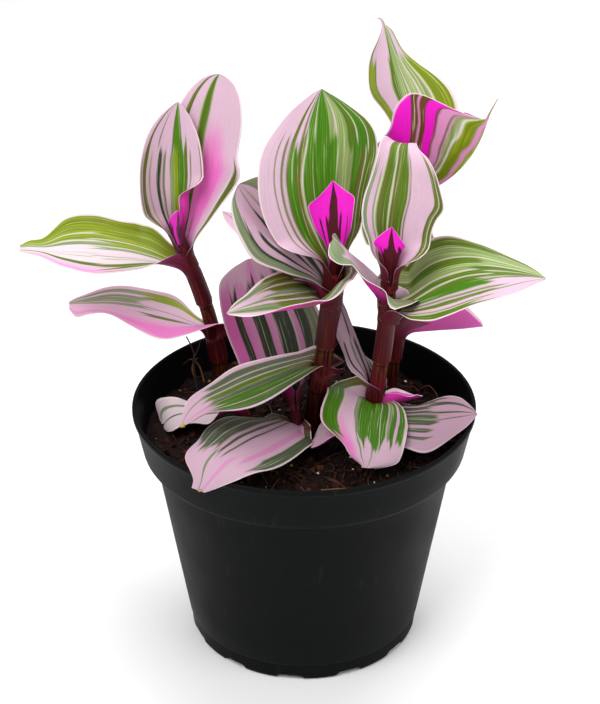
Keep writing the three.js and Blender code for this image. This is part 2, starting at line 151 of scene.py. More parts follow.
# A leaf. The first word of its name is its stem, and its form is:
#   start, sheath, radius: height of its sheath's foot on the stem, the sheath's length, and its radius where
#     the leaf stands in the mouth of another one
#   side: compass direction, with 0 at the right and 90 at the back
#   rise, droop, hook: slope at the foot, what it loses by the tip, and what the last third adds
#   roll, lean, swing: turn about the midrib, tilt sideways, and the tilt added by the tip
#   cup, other_cup, fold: arch of the first and of the other half, and slope of both at the midrib
#   mouth, opening: how far past the sheath the blade takes to reach its width, and to unroll
#   edges: rows of (place, first half's width, other half's width); base: the foot's share of width without them
#   lobes, lifts: how far the foot of each half reaches back round the stem, and how far it is raised
#   curls, bumps: bends and swellings of one margin, as (half, from, to, from which share of the half, degrees)
#     and (half, place, spread, height)
#   point, crook: length of the thread at the tip, and how far it bends
#   fan: how strongly the stripes of the other half spread to its margin
# A slope or an angle may be a row of (place along the blade, value).
#
# Its looks:
#   stripes: from the edge of the other half to that of the first half, each as a colour's letter and a width
#   tip, switch, ragged: stripes near the tip, the place past which each of the others ends, and how unevenly
#   blush, shade, glow: a pink tint of the upper side, painted shade on it for a leaf that lies in shadow, and a
#       painted pink glow of light through the leaf at a place on it, as (across, along, strength)
#   own_underside, under: 1 where the underside has the upper side's colours, and the colour of a brighter
#       underside, painted light showing through the leaf
PLAIN_LEAF = dict(
    droop=0, hook=0, roll=0, lean=0, swing=0, fold=0, mouth=8, opening=14, base=0.35, lobes=(0, 0),
    lifts=(0, 0), curls=(), bumps=(), point=0, crook=0, fan=0, switch=2, ragged=0.45, blush=0.15, shade=0,
    glow=(0, 0, 0), own_underside=0)
LEAVES = {
    "left_leaf_low": dict(
        start=6, sheath=9, side=188, length=51.5, width=27, rise=30, droop=27.5, roll=((0, 2.8), (0.5, -7.9),
        (1, -10.2)), cup=-4.6, other_cup=18.7, mouth=3, opening=8, edges=((0, 4.5, 3.5), (0.1, 5.2, 4),
        (0.25, 10.8, 11.4), (0.42, 13.5, 12.2), (0.6, 9.4, 12.3), (0.75, 4.9, 10.1), (0.88, 5.3, 5.5),
        (0.96, 6.6, 3.3), (1, 2.6, 1.6)), lobes=(7, 2.3), lifts=(3.5, 0),
        stripes="W2 P5 Y14 C3 P14 S3 P12 O7 P14 K16 K6 W2", tip="W2 P5 S6 P4 S14 P3 S5 P14 P16 K10 P6 W2",
        switch=0.5, glow=(0.8, 0.4, 0.4)),
    "left_leaf_side": dict(
        start=29, sheath=11, side=185.9, length=59.1, width=32, rise=22, droop=25.1, hook=9.5,
        roll=((0, 15.4), (0.5, -6), (1, -5.6)), cup=10, other_cup=56.2, mouth=8, opening=20,
        edges=((0, 8.8, 7.8), (0.15, 8, 7.9), (0.3, 7.8, 14.9), (0.45, 13.5, 15.6), (0.6, 16.4, 16),
        (0.75, 11.1, 13.4), (0.87, 3.7, 5.8), (0.95, 2.4, 4.6), (1, 2.4, 1.8)),
        stripes="W2 Y5 O2 Y20 C2 Y8 C2 S4 N12 S3 N5 S2 N12 V14 N4 O3 W2",
        tip="W2 Y4 O2 Y14 C2 Y8 C3 S5 N12 S3 N8 S2 N12 V8 N10 P8 W2", switch=0.55, glow=(0.95, 0.62, 0.35)),
    "left_leaf_back": dict(
        start=43, sheath=4, side=70, length=62, width=29, rise=74, roll=10, lean=-11, swing=7, cup=30,
        edges=((0, 4, 4), (0.15, 6, 5), (0.3, 9.5, 8.5), (0.45, 12, 13), (0.52, 12.6, 14), (0.6, 12.8, 11.6),
        (0.75, 12.6, 11), (0.87, 10.2, 9), (0.95, 6.6, 6), (0.985, 3.6, 3.2), (1, 0.8, 0.8)),
        bumps=((-1, 0.53, 0.06, 1.6),),
        stripes="W2 O7 W3 P12 K20 K10 G7 K3 P10 P8 O2 P8 W2", tip="W2 P44 L3 V6 L3 P12 O5 P8 W2", switch=0.5,
        glow=(-0.15, 0.42, 0.6)),
    "left_leaf_front": dict(
        start=47, sheath=3, radius=2.2, side=100, length=50, width=26, rise=80, lean=4, swing=-13, cup=55,
        edges=((0, 4, 4), (0.13, 8, 7), (0.32, 14, 10), (0.54, 15.4, 10.2), (0.75, 11.6, 8.4), (0.9, 6, 4.8),
        (0.97, 2.2, 2), (1, 0.3, 0.3)), curls=((-1, -0.02, 0.52, 0.1, 140),),
        stripes="W2 O3 P16 V3 P4 V6 L2 G9 Y6 L5 P5 V3 P3 D4 P9 L3 P5 O6 P2 O3 W2",
        tip="W2 P34 V3 L2 G8 V3 P16 O3 P12 O4 P6 W2", switch=0.7),
    "left_leaf_young": dict(
        start=50.3, sheath=2, radius=1.2, side=300, length=13.5, width=9.5, rise=84, cup=90,
        stripes="M10 B10 M6 B14 M20", tip="M30 B8 M30", switch=0.6, own_underside=1),
    "centre_leaf_low": dict(
        start=16, sheath=5, side=212, length=52.9, width=25, rise=-3, droop=6, hook=-19.3, roll=5.3, cup=10.8,
        mouth=3, opening=7, edges=((0, 4, 4), (0.1, 2.7, 8.7), (0.28, 8.7, 12.4), (0.5, 11.9, 13.2),
        (0.7, 11.8, 11.5), (0.85, 4, 9.2), (0.95, 1.6, 4.6), (1, 0.3, 0.3)), lobes=(4.9, 6.8),
        stripes="W2 P4 A9 C2 A7 C2 V8 A7 C1 G16 P3 G10 A4 W3", tip="W2 P20 S4 P20 K8 P40 W3", switch=0.76,
        ragged=0.35, shade=0.35),
    "centre_leaf_front": dict(
        start=32, sheath=14, side=((0, 232), (0.4, 216.7)), length=42.8, width=28, rise=((0, 14.7),
        (0.3, 17.9), (1, 18.7)), droop=13.7, roll=((0, 4.8), (0.4, -0.13), (1, 1.8)), cup=((0, 0.3),
        (0.3, 47.6), (0.6, 46.1), (1, 13.2)), other_cup=((0, 18.5), (0.3, 57.3), (1, 30.5)), mouth=3,
        opening=5, edges=((0, 11.2, 13.2), (0.15, 11.8, 13), (0.35, 16.2, 13.4), (0.55, 14, 12),
        (0.75, 10.7, 7.3), (0.9, 6.1, 3.6), (1, 0.5, 0.5)), lobes=(1, 3.6), lifts=(12.3, 0.7),
        curls=((1, -0.1, 0.5, 0.42, -19),),
        stripes="W3 O12 C3 O6 S6 C3 O8 P4 O8 G12 C2 O8 C3 V10 S6 C3 S6 W4",
        tip="W4 S8 P14 S6 P6 S12 V6 S8 P20 W4", switch=0.55),
    "centre_leaf_far": dict(
        start=45, sheath=2, side=143, length=48, width=18, rise=22, cup=30,
        stripes="W2 P20 S8 P20 S8 P20 W2", tip="W2 P20 S4 P20 W2", switch=0.6),
    "centre_leaf_behind": dict(
        start=48, sheath=3.5, side=159.9, length=44.1, width=40, rise=45.6, droop=1.2, roll=-5, cup=8.3,
        mouth=4, opening=6, edges=((0, 3, 8.7), (0.15, 5.5, 13.7), (0.35, 15, 18.4), (0.55, 24.5, 19.9),
        (0.72, 20.5, 19.4), (0.85, 15.2, 16.8), (0.95, 8.9, 9.7), (1, 1, 1)),
        stripes="S10 D5 P7 D8 S4 P6 D6 P5 D5 P9 D4 P8 D4 S10 W3", tip="S32 P12 S3 P8 S3 P22 S12 W3",
        switch=0.7, ragged=0.6, shade=0.4),
    "centre_leaf_upright": dict(
        start=54, sheath=4, side=97, length=58, width=37, rise=74, lean=19, swing=-32, cup=30,
        edges=((0, 5, 5), (0.06, 8, 6.5), (0.15, 13, 10), (0.27, 17.4, 13), (0.41, 20, 15.5), (0.55, 20, 18),
        (0.67, 18, 19.6), (0.79, 12.6, 18.6), (0.87, 8.6, 15.4), (0.93, 5, 10), (0.97, 2.6, 5),
        (1, 0.2, 0.2)), bumps=((-1, 0.84, 0.1, 1.5),),
        stripes="W1 V9 C1 O5 G6 L16 G24 V3 G4 C3 O5 G7 O3 P3 O3 P5 O2 P16 W1",
        tip="W1 V6 C1 G8 C1 V8 L10 P2 L6 G12 C2 G8 P3 O3 P4 O4 P26 W1", switch=0.74, blush=0.12),
    "centre_leaf_young": dict(
        start=58.5, sheath=3, radius=1.6, side=268, length=30, width=18, rise=88, lean=-2, cup=42,
        edges=((0, 3, 3), (0.3, 4.6, 5), (0.58, 6, 8), (0.66, 6.3, 8.8), (0.72, 6.6, 7.8), (0.8, 6.6, 5.4),
        (0.86, 4.6, 3.8), (0.93, 2.2, 1.9), (1, 0.2, 0.2)),
        stripes="M16 B4 M8 B30 M12 B3 M12", tip="M32 B14 M32", switch=0.55, blush=0, own_underside=1),
    "right_leaf_front_low": dict(
        start=0.9, sheath=1, side=226, length=28, width=16, rise=2, droop=4, roll=20, cup=50,
        stripes="P10 K20 S4 K20 W2", tip="P20 K20 W2", switch=0.6),
    "right_leaf_low": dict(
        start=2.5, sheath=1, side=344.4, length=35.8, width=26, rise=10, roll=11.3, cup=-2.1, mouth=3,
        opening=6, edges=((0, 4.8, 5.5), (0.2, 6.5, 12.9), (0.4, 6, 16.4), (0.6, 8.8, 17.2), (0.8, 7.9, 11.9),
        (0.93, 4.1, 6.1), (1, 0.3, 0.3)),
        stripes="W2 P12 A4 P6 A6 P5 A7 S4 A6 P3 A8 P4 A12 P6 A10 W3", tip="W2 P34 A3 P8 A4 P16 A6 P10 W2",
        switch=0.6, shade=0.55),
    "right_leaf_scrap": dict(
        start=5, sheath=1.5, side=22, length=18, width=13, rise=2, roll=-20, cup=60,
        stripes="W4 M20 M20 W4", tip="W4 P20 M10 W4", switch=0.7),
    "right_leaf_collar": dict(
        start=9, sheath=2, side=262.5, length=33.3, width=32, rise=17.1, droop=65.1, roll=-17.7, cup=-17.1,
        mouth=2, opening=4, edges=((0, 3.5, 5), (0.05, 5, 8), (0.13, 9.2, 15.2), (0.3, 12.6, 15.7),
        (0.48, 12.6, 16.3), (0.64, 12.3, 14.5), (0.8, 11.7, 8.1), (0.91, 10, 5), (0.98, 5, 1.4),
        (1, 1.4, 1.4)), lobes=(3.4, 10.9),
        stripes="W2 G16 C3 P14 S4 G26 C1 G8 C2 S4 G6 P4 G8 C3 W2", tip="W2 S3 P26 S4 P18 S3 P40 W2",
        switch=0.72, shade=0.3, glow=(-0.95, 0.72, 0.7)),
    "right_leaf_back": dict(
        start=14, sheath=3, side=157.1, length=34, width=12, rise=69.5, roll=-11, lean=3.6, cup=-97.3,
        stripes="W2 S8 P3 D5 P4 D6 P8 D6 P6 S4 P10 D4 P8 W2", tip="W2 S8 P8 D5 P14 D4 P20 W2", switch=0.6,
        shade=0.6),
    "right_leaf_side": dict(
        start=29, sheath=15, side=352, length=53, width=37, rise=((0, 24), (0.25, 45), (1, 42)), droop=50,
        roll=16, cup=20, mouth=5, opening=9, edges=((0, 14, 4), (0.12, 18.5, 8), (0.3, 21, 14.5),
        (0.45, 20.5, 17), (0.6, 16, 15), (0.75, 10, 11.5), (0.87, 5.4, 6.6), (0.95, 2.4, 2.8), (1, 0.3, 0.3)),
        stripes="W2 V10 C2 O4 P5 V6 P3 V4 P4 G12 V5 C2 V6 C3 L8 V8 C1 L12 V5 O4 W1",
        tip="W2 P26 S4 P24 V4 P2 V8 C3 V8 C3 L12 C2 L14 C1 O8 W1", switch=0.66),
    "right_leaf_front": dict(
        start=43.5, sheath=6, side=197.2, length=31.4, width=28, rise=((0, 27.1), (0.3, 56), (1, 52.3)),
        roll=((0, -25.7), (0.25, -9.1), (0.5, -5.5), (0.75, -9.5), (0.9, -12.1), (1, -14)), cup=24.4, mouth=7,
        opening=5, edges=((0, 12.5, 4), (0.12, 12.6, 5.5), (0.3, 8.4, 6.6), (0.5, 7.1, 6.8), (0.7, 6, 5.2),
        (0.86, 8.3, 4.6), (0.94, 8, 3.6), (0.98, 6, 2.2), (1, 3, 1)), lobes=(5.8, 6), lifts=(1.3, -0.5),
        curls=((1, -0.1, 0.34, 0.3, -69.3), (1, 0.7, 1.1, 0.1, -82.2)),
        stripes="W2 P70 S16 W2", tip="W2 S34 P8 S34 W2", switch=0.82, ragged=0.12),
    "right_leaf_upright": dict(
        start=55.5, sheath=3, side=90, length=55, width=28, rise=((0, 80), (0.61, 80), (0.71, 52), (0.79, 5),
        (0.87, -40), (1, -60)), roll=-2.1, lean=-7, cup=((0, 16.8), (0.45, 36.4), (0.7, 63.4), (1, 61.2)),
        edges=((0, 9, 6.2), (0.08, 10.4, 10.9), (0.2, 8.2, 11.7), (0.3, 10.6, 11.5), (0.39, 11.8, 12.5),
        (0.48, 11.8, 14.6), (0.56, 11.1, 13.2), (0.63, 10.4, 11.2), (0.7, 9.6, 7.6), (0.76, 8.6, 4),
        (0.86, 5, 2.5), (0.95, 2.3, 2), (1, 0.3, 0.3)), bumps=((-1, 0.47, 0.06, 1.5), (-1, 0.27, 0.09, -0.5)),
        stripes="W1 O4 C1 O5 P26 O2 P2 V10 O7 C3 V6 O7 L3 C2 S3 P7 S5 W2", tip="W1 P38 V9 O6 C3 V6 O6 P16 W2",
        switch=0.66),
    "right_leaf_young": dict(
        start=57.5, sheath=2, radius=1.4, side=270, length=18.5, width=14, rise=88, cup=42,
        edges=((0, 2.4, 2.4), (0.28, 5.2, 4.3), (0.4, 6.4, 5.1), (0.47, 6.6, 5.4), (0.6, 5, 6),
        (0.7, 3.6, 5.8), (0.85, 1.9, 3), (1, 0.2, 0.2)),
        stripes="M14 B34 M14", tip="M30 B14 M30", switch=0.55, blush=0, own_underside=1),
    "back_leaf_low": dict(
        start=13, sheath=7, side=340, length=31, width=32, rise=16, droop=4, roll=-30, cup=20, fold=35,
        base=0.9,
        # Its brighter underside is painted light, as if lit through the leaf from above.
        stripes="W2 O20 S20 K10 D10 K10 S20 W2", tip="W2 P20 K20 S6 K20 P10 W2", switch=0.35, under="#f06cc4"),
    "back_leaf_behind": dict(
        start=36, sheath=6, side=100, length=42, width=26, rise=15, droop=10, cup=25,
        stripes="W2 O12 P5 S6 P4 G14 C3 G12 P6 S5 P14 O4 W2", tip="W2 P14 S6 P20 S10 P20 W2", switch=0.6),
    "back_leaf_front": dict(
        start=64.5, sheath=8, side=309.8, length=42, width=50, rise=30, droop=-39.8, roll=10.2, cup=5.2,
        other_cup=16.2, fold=((0, 33), (0.12, 51.9), (0.35, 59.1), (1, 77.3)), mouth=4, opening=5,
        edges=((0, 8.5, 18.6), (0.1, 11.8, 19.6), (0.25, 14.5, 23.7), (0.4, 15.9, 25.8), (0.55, 15.5, 27.4),
        (0.7, 13.3, 27.7), (0.82, 11.3, 26.4), (0.9, 9.4, 21), (0.96, 4.1, 8), (1, 0.5, 0.6)),
        lobes=(-0.01, 6), point=8, crook=28, fan=0.35,
        stripes="M63 R10 K3 R8 M12 R3 K12 O3 K2 L6 W3 Y13 K5 Y30 V24 L74 K13 W2", blush=0, own_underside=1),
    "back_leaf_top": dict(
        start=73, sheath=3, side=130, length=53.7, width=33, rise=62, lean=-0.65, swing=-3.3, cup=36.4,
        edges=((0, 6.6, 5), (0.15, 7.5, 10.7), (0.35, 8.5, 17.6), (0.5, 11.8, 17.4), (0.62, 19.3, 14.3),
        (0.72, 16.2, 9.9), (0.82, 11.2, 5.9), (0.9, 5.3, 4.1), (0.96, 1.7, 2.8), (1, 0.4, 0.4)), point=3.4,
        crook=95,
        stripes="W3 Y16 C3 L8 C3 L7 C3 L12 V6 L3 P24 V3 Y17 W1", tip="W3 L8 P12 C2 S6 C3 L12 V4 P36 V4 W2",
        switch=0.78, ragged=0.2),
    "short_leaf_front": dict(
        start=0.9, sheath=1, side=237.3, length=58.1, width=32, rise=15, droop=10.7, hook=-51.2, roll=-6.8,
        cup=-17.9, mouth=3, opening=6, edges=((0, 3.5, 4), (0.12, 12.4, 10.2), (0.3, 14, 15.9),
        (0.5, 14.2, 15.8), (0.7, 13.5, 11.9), (0.85, 10.2, 10.5), (0.95, 5, 3.9), (1, 1.5, 3)),
        lobes=(-4, -1.9),
        stripes="W1 A12 C2 A12 C2 A10 P6 A5 P6 A4 P24 K8 P6 A14 W2", tip="W1 P36 S4 P20 K8 P32 W2",
        switch=0.72, ragged=0.35, shade=0.4),
    "short_leaf_back": dict(
        start=5, sheath=3, side=93.9, length=55.5, width=38, rise=50.4, droop=3.1, roll=7, lean=10.6,
        swing=6.8, cup=30.8, edges=((0, 4.4, 4), (0.2, 14.1, 11.1), (0.4, 15.7, 16.3), (0.6, 17, 16.5),
        (0.78, 15.9, 13), (0.9, 13, 8.7), (0.97, 6.9, 4), (1, 1.5, 1.5)),
        stripes="W3 S12 D10 K6 W2 D18 K9 D13 K12 D9 K14 W2", tip="W2 S8 P30 K10 P30 W2", switch=0.84,
        ragged=0.3, shade=0.75, glow=(0.9, 0.5, 0.5)),
    "low_leaf": dict(
        start=0.9, sheath=0.6, side=186.5, length=30.3, width=20, rise=0, hook=-66.5, roll=-8.8, cup=17.2,
        edges=((0, 4.2, 4), (0.3, 8.1, 7.3), (0.6, 8, 5.6), (0.8, 9.4, 8.2), (0.93, 6.1, 10.7), (1, 2, 5)),
        stripes="W3 N10 A8 N16 S5 N20 W3", tip="W3 N12 S5 N14 A4 N26 W3", switch=0.6, blush=0.05, shade=0.3),
}
LEAVES = {
    name: {**PLAIN_LEAF, "stem": name.split("_")[0], "other_cup": leaf["cup"], **leaf}
    for name, leaf in LEAVES.items()}

# Stripe colours, each with its letter and how green it counts for the leaf's underside.
STRIPE_COLOURS = {
    "W": ("#e8e1db", 0), "P": ("#d4b5c6", 0), "K": ("#dc93c2", 0), "C": ("#d2cfba", 0.15),
    "G": ("#4b8010", 1), "Y": ("#86991a", 1), "L": ("#93a768", 1), "S": ("#849670", 0.9),
    "O": ("#68732a", 1), "V": ("#5c7a1b", 1), "N": ("#dacdd0", 0), "D": ("#33442a", 1),
    "M": ("#ee18c6", 0), "B": ("#4c0818", 0), "R": ("#64401a", 1), "A": ("#5c6b50", 1),
}

# The blend between two stripes, as a share of the leaf's width, and the stops that a colour ramp can take.
STRIPE_BLEND = 0.004
RAMP_STOPS = 32


def smooth(x):
    x = min(1, max(0, x))
    return x * x * (3 - 2 * x)


def mix(a, b, x):
    return a + (b - a) * x


def bowed(start, bow, end, u):
    """The point at u on a curve that leaves start towards bow and arrives at end."""
    return start * (1 - u) ** 2 + bow * 2 * u * (1 - u) + end * u * u


def linear(colour):
    """Turns a web colour such as #8fa626 into the linear values that Blender's sockets take."""
    values = (int(colour[i : i + 2], 16) / 255 for i in (1, 3, 5))
    return tuple(v / 12.92 if v <= 0.04045 else ((v + 0.055) / 1.055) ** 2.4 for v in values)


def colour_setting(name, description, colour):
    return FloatVectorProperty(
        name=name, description=description, default=linear(colour), subtype="COLOR", size=3, min=0, max=1)


class PotSettings(bpy.types.PropertyGroup):
    sides: IntProperty(name="Sides", description="Facets round the pot", default=180, min=60, max=360)
    colour: colour_setting("Plastic", "Colour of the pot's plastic", "#070808")


class SoilSettings(bpy.types.PropertyGroup):
    relief: FloatProperty(
        name="Relief", description="Height of the soil's lumps", default=1.5 * MM, min=0, max=4 * MM,
        unit="LENGTH")
    crumbs: IntProperty(name="Crumbs", description="Loose crumbs on the soil", default=900, min=0, max=2000)
    colour: colour_setting("Soil", "Colour of the damp soil", "#180b07")


class PlantSettings(bpy.types.PropertyGroup):
    blade: FloatProperty(
        name="Blade", description="Thickness of a leaf", default=0.5 * MM, min=0.2 * MM, max=0.7 * MM,
        unit="LENGTH")
    stem_colour: colour_setting("Stem", "Colour of the stems", "#4a0810")
    under_colour: colour_setting("Underside", "Colour of a leaf's underside between its stripes", "#d936a8")


class StudioSettings(bpy.types.PropertyGroup):
    light: FloatProperty(name="Light", description="Strength of the studio lights", default=1, min=0, max=4)
    floor_colour: colour_setting("Floor", "Colour of the floor", "#fafafa")


# Materials


class Shader:
    """Adds nodes to a material's or a group's tree. An input may be a socket, a plain value or a web colour."""

    def __init__(self, tree):
        self.tree = tree

    def fill(self, node, inputs):
        for key, value in inputs.items():
            if isinstance(value, bpy.types.NodeSocket):
                self.tree.links.new(value, node.inputs[key])
            else:
                node.inputs[key].default_value = (*linear(value), 1) if isinstance(value, str) else value

    def node(self, kind, inputs=None, **settings):
        node = self.tree.nodes.new(kind)
        for key, value in settings.items():
            setattr(node, key, value)
        self.fill(node, inputs or {})
        return node

    def math(self, operation, *values):
        return self.node("ShaderNodeMath", dict(enumerate(values)), operation=operation).outputs[0]

    def times(self, a, b):
        return self.math("MULTIPLY", a, b)

    def plus(self, a, b):
        return self.math("ADD", a, b)

    def minus(self, a, b):
        return self.math("SUBTRACT", a, b)

    def spread(self, value, low, high, to_low=0, to_high=1):
        """Turns the range from low to high into the one from to_low to to_high, with soft ends."""
        inputs = {0: value, 1: low, 2: high, 3: to_low, 4: to_high}
        return self.node("ShaderNodeMapRange", inputs, interpolation_type="SMOOTHSTEP").outputs[0]

    def mixed(self, share, a, b, blend="MIX"):
        # A mix node has a set of sockets for each kind of value. These are the ones for colours.
        inputs = {0: share, 6: a, 7: b}
        return self.node("ShaderNodeMix", inputs, data_type="RGBA", blend_type=blend).outputs[2]

    def coats(self, colour, *coats):
        """Lays coats over a colour, each as (share, colour)."""
        for share, coat in coats:
            colour = self.mixed(share, colour, coat)
        return colour

    def noise(self, vector, scale, detail=2):
        inputs = {"Vector": vector, "Scale": scale, "Detail": detail}
        return self.node("ShaderNodeTexNoise", inputs).outputs["Fac"]

    def place(self):
        return self.node("ShaderNodeTexCoord").outputs["Object"]

    def stretched(self, vector, scale):
        return self.node("ShaderNodeMapping", {"Vector": vector, "Scale": scale}).outputs[0]

    def parts(self, vector):
        return self.node("ShaderNodeSeparateXYZ", {0: vector}).outputs

    def attribute(self, name, output):
        return self.node("ShaderNodeAttribute", attribute_name=name).outputs[output]

    def ramp(self, value, stops):
        node = self.node("ShaderNodeValToRGB", {0: value})
        elements = node.color_ramp.elements
        elements[0].position, elements[0].color = stops[0]
        elements[1].position, elements[1].color = stops[-1]
        for position, colour in stops[1:-1]:
            elements.new(position).color = colour
        return node.outputs

    def group(self, name, inputs):
        return self.node("ShaderNodeGroup", inputs, node_tree=bpy.data.node_groups[name]).outputs

    def bump(self, height, strength, distance):
        inputs = {"Height": height, "Strength": strength, "Distance": distance * MM}
        return self.node("ShaderNodeBump", inputs).outputs[0]

    def dress(self, **sockets):
        """Fills the sockets of a material's surface, whose names are given with _ for a space."""
        self.fill(self.surface, {label.replace("_", " "): value for label, value in sockets.items()})


def new_material(name):
    material = bpy.data.materials.new(name)
    material.use_nodes = True
    material.node_tree.nodes.clear()
    shader = Shader(material.node_tree)
    shader.surface = shader.node("ShaderNodeBsdfPrincipled")
    shader.node("ShaderNodeOutputMaterial", {"Surface": shader.surface.outputs[0]})
    return material, shader


def new_group(name, **inputs):
    """Starts a shader node group with the names of its inputs of each kind."""
    tree = bpy.data.node_groups.new(name, "ShaderNodeTree")
    for kind, labels in inputs.items():
        for label in labels:
            tree.interface.new_socket(name=label, in_out="INPUT", socket_type="NodeSocket" + kind)
    return Shader(tree), tree.nodes.new("NodeGroupInput").outputs


def finish_group(shader, results):
    """Gives a group an output for each result, of the result's own kind."""
    kinds = {"VALUE": "NodeSocketFloat", "RGBA": "NodeSocketColor"}
    for label, value in results.items():
        shader.tree.interface.new_socket(name=label, in_out="OUTPUT", socket_type=kinds[value.type])
    shader.fill(shader.tree.nodes.new("NodeGroupOutput"), results)


def leaf_pattern_group():
    """Where a point of a leaf falls among its stripes. Their edges wander, and each ends at its own place."""
    shader, given = new_group("Leaf pattern", Vector=["Map"], Float=["Rim", "Seed", "Switch", "Ragged"])
    across, along, _ = shader.parts(given["Map"])

    def wander(across_scale, along_scale, detail):
        inputs = {0: shader.times(across, across_scale), 1: shader.times(along, along_scale), 2: given["Seed"]}
        place = shader.node("ShaderNodeCombineXYZ", inputs).outputs[0]
        return shader.minus(shader.noise(place, 1, detail), 0.5)

    slow = shader.times(wander(1.6, 2.6, 1), 0.16)
    fine = shader.times(wander(14, 3.5, 2), 0.04)
    inside = shader.minus(1, shader.math("POWER", given["Rim"], 3))
    moved = shader.plus(across, shader.times(shader.plus(slow, fine), inside))
    ends = shader.plus(along, shader.times(wander(9, 0.8, 1), given["Ragged"]))
    finish_group(shader, {
        "Across": shader.math("MULTIPLY_ADD", moved, 0.5, 0.5),
        "Tip": shader.spread(shader.minus(ends, given["Switch"]), -0.025, 0.045),
        "Streak": shader.plus(wander(44, 2.4, 3), 0.5),
        "Margin": shader.spread(given["Rim"], 0.965, 0.99),
        "Grain": shader.plus(wander(160, 90, 1), 0.5)})


def leaf_finish_group():
    """Lays fine streaks, a pink blush, a painted glow, painted shade, the sheath's colours and the underside
    over a leaf's stripes.
    """
    shader, given = new_group(
        "Leaf finish", Vector=["Map", "Glow"], Color=["Stripes", "Underside"],
        Float=["Greenness", "Streak", "Margin", "Grain", "Blush", "Shade", "Own underside"])
    times, spread, mixed = shader.times, shader.spread, shader.mixed
    across, along, face = shader.parts(given["Map"])
    green, streak, margin, grain = (given[label] for label in ("Greenness", "Streak", "Margin", "Grain"))
    mature = shader.minus(1, given["Own underside"])

    # Green stripes carry paler and darker lines, and turn brown at the leaf's foot.
    lines = mixed(spread(streak, 0.42, 0.66), (0.72, 0.76, 0.66, 1), (1.3, 1.26, 1.3, 1))
    greens = shader.coats(
        mixed(1, given["Stripes"], lines, "MULTIPLY"), (spread(streak, 0.62, 0.68, 0, 0.55), "#cfd0b4"),
        (spread(along, 0.26, 0, 0, 0.6), "#6a3a1e"))

    # Pale stripes have a few sage hairlines, a pink blush, and on some leaves a painted pink glow, light
    # showing through the leaf round one place.
    centre = shader.parts(given["Glow"])
    aside = times(shader.minus(across, centre[0]), 2)
    ahead = times(shader.minus(along, centre[1]), 3)
    far = shader.plus(times(aside, aside), times(ahead, ahead))
    pales = shader.coats(
        given["Stripes"], (times(spread(streak, 0.66, 0.7, 0, 0.4), mature), "#9a9a80"),
        (times(spread(grain, 0.35, 0.7, 0, 0.14), mature), "#fff3f8"),
        (times(given["Blush"], spread(streak, 0.2, 0.62)), "#d583b8"),
        (times(spread(far, 1.3, 0), centre[2]), "#f03cc0"))
    upper = shader.coats(mixed(green, pales, greens), (times(margin, 0.85), "#e9dcda"))
    # Painted shade: the upper side of a leaf that lies in shadow is darkened by its Shade.
    upper = mixed(given["Shade"], upper, "#8c7a80", "MULTIPLY")

    # The underside is magenta, and its stripes show through as brown and olive.
    through = mixed(spread(streak, 0.3, 0.7), "#5e3a34", "#7e6a48")
    below = shader.coats(
        given["Underside"], (times(green, 0.85), through), (times(margin, 0.7), "#e7c3d8"),
        (spread(along, 0.34, 0.04), "#5e1228"), (given["Own underside"], upper))

    # The sheath and the foot of the blade turn to maroon and olive.
    sheath = mixed(spread(streak, 0.35, 0.6), "#2e0307", "#560d14")
    sheath = mixed(spread(streak, 0.56, 0.68, 0, 0.6), sheath, "#66401a")
    finish_group(shader, {
        "Color": shader.coats(mixed(face, below, upper), (spread(along, 0.1, -0.02, 0, 0.93), sheath)),
        "Roughness": spread(streak, 0.3, 0.7, 0.4, 0.5),
        "Height": shader.plus(streak, times(grain, 0.35))})


def stripe_stops(bands):
    """A colour ramp's stops for a row of stripes, with a short blend at each edge between two."""
    pairs = [(band[0], float(band[1:])) for band in bands.split()]
    total = sum(width for _, width in pairs)
    last = len(pairs) - 1
    for narrow in range(3, 12):
        # A ramp takes few stops, so the narrow stripes have one each, and every other one has two.
        stops = []
        at = 0
        for index, (letter, width) in enumerate(pairs):
            colour, green = STRIPE_COLOURS[letter]
            value = (*linear(colour), green)
            start, end = at / total, (at + width) / total
            at += width
            if 0 < index < last and width <= narrow:
                stops.append(((start + end) / 2, value))
                continue
            if index > 0:
                stops.append((start + STRIPE_BLEND, value))
            if index < last:
                stops.append((end - STRIPE_BLEND, value))
        if len(stops) <= RAMP_STOPS:
            return stops
    raise RuntimeError(f"too many stripes: {bands}")


def leaf_material(name, seed, settings):
    look = LEAVES[name]
    material, shader = new_material(name + "_stripes")
    place = shader.attribute("leaf_map", "Vector")
    pattern = shader.group("Leaf pattern", {
        "Map": place, "Rim": shader.attribute("leaf_rim", "Fac"), "Seed": seed * 3.7,
        "Switch": look["switch"], "Ragged": look["ragged"]})
    base = shader.ramp(pattern["Across"], stripe_stops(look["stripes"]))
    tip = shader.ramp(pattern["Across"], stripe_stops(look.get("tip", look["stripes"])))
    finish = shader.group("Leaf finish", {
        "Map": place, "Stripes": shader.mixed(pattern["Tip"], base[0], tip[0]),
        "Greenness": shader.math("MULTIPLY_ADD", pattern["Tip"], shader.minus(tip[1], base[1]), base[1]),
        "Streak": pattern["Streak"], "Margin": pattern["Margin"], "Grain": pattern["Grain"],
        "Blush": look["blush"], "Shade": look["shade"], "Glow": look["glow"],
        "Own underside": look["own_underside"], "Underside": look.get("under", (*settings.under_colour, 1))})
    shader.dress(Base_Color=finish["Color"], Roughness=finish["Roughness"], Specular_IOR_Level=0.2,
                 Normal=shader.bump(finish["Height"], 0.35, 0.35))
    return material


# Pieces, and the lines that the stems follow


def add_piece(name, bm, material, nodes=(), sharp=None):
    """Makes a bmesh into a piece of the part, in place of the CAD nodes that it stands for."""
    bmesh.ops.recalc_face_normals(bm, faces=bm.faces[:])
    mesh = bpy.data.meshes.new(name)
    bm.to_mesh(mesh)
    bm.free()
    mesh.shade_smooth()
    if sharp:
        mesh.set_sharp_from_angle(angle=radians(sharp))
    mesh.materials.append(material)
    piece = bpy.data.objects.new(name, mesh)
    bpy.context.scene.collection.objects.link(piece)
    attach(piece, "root")
    if nodes:
        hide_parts(*nodes)


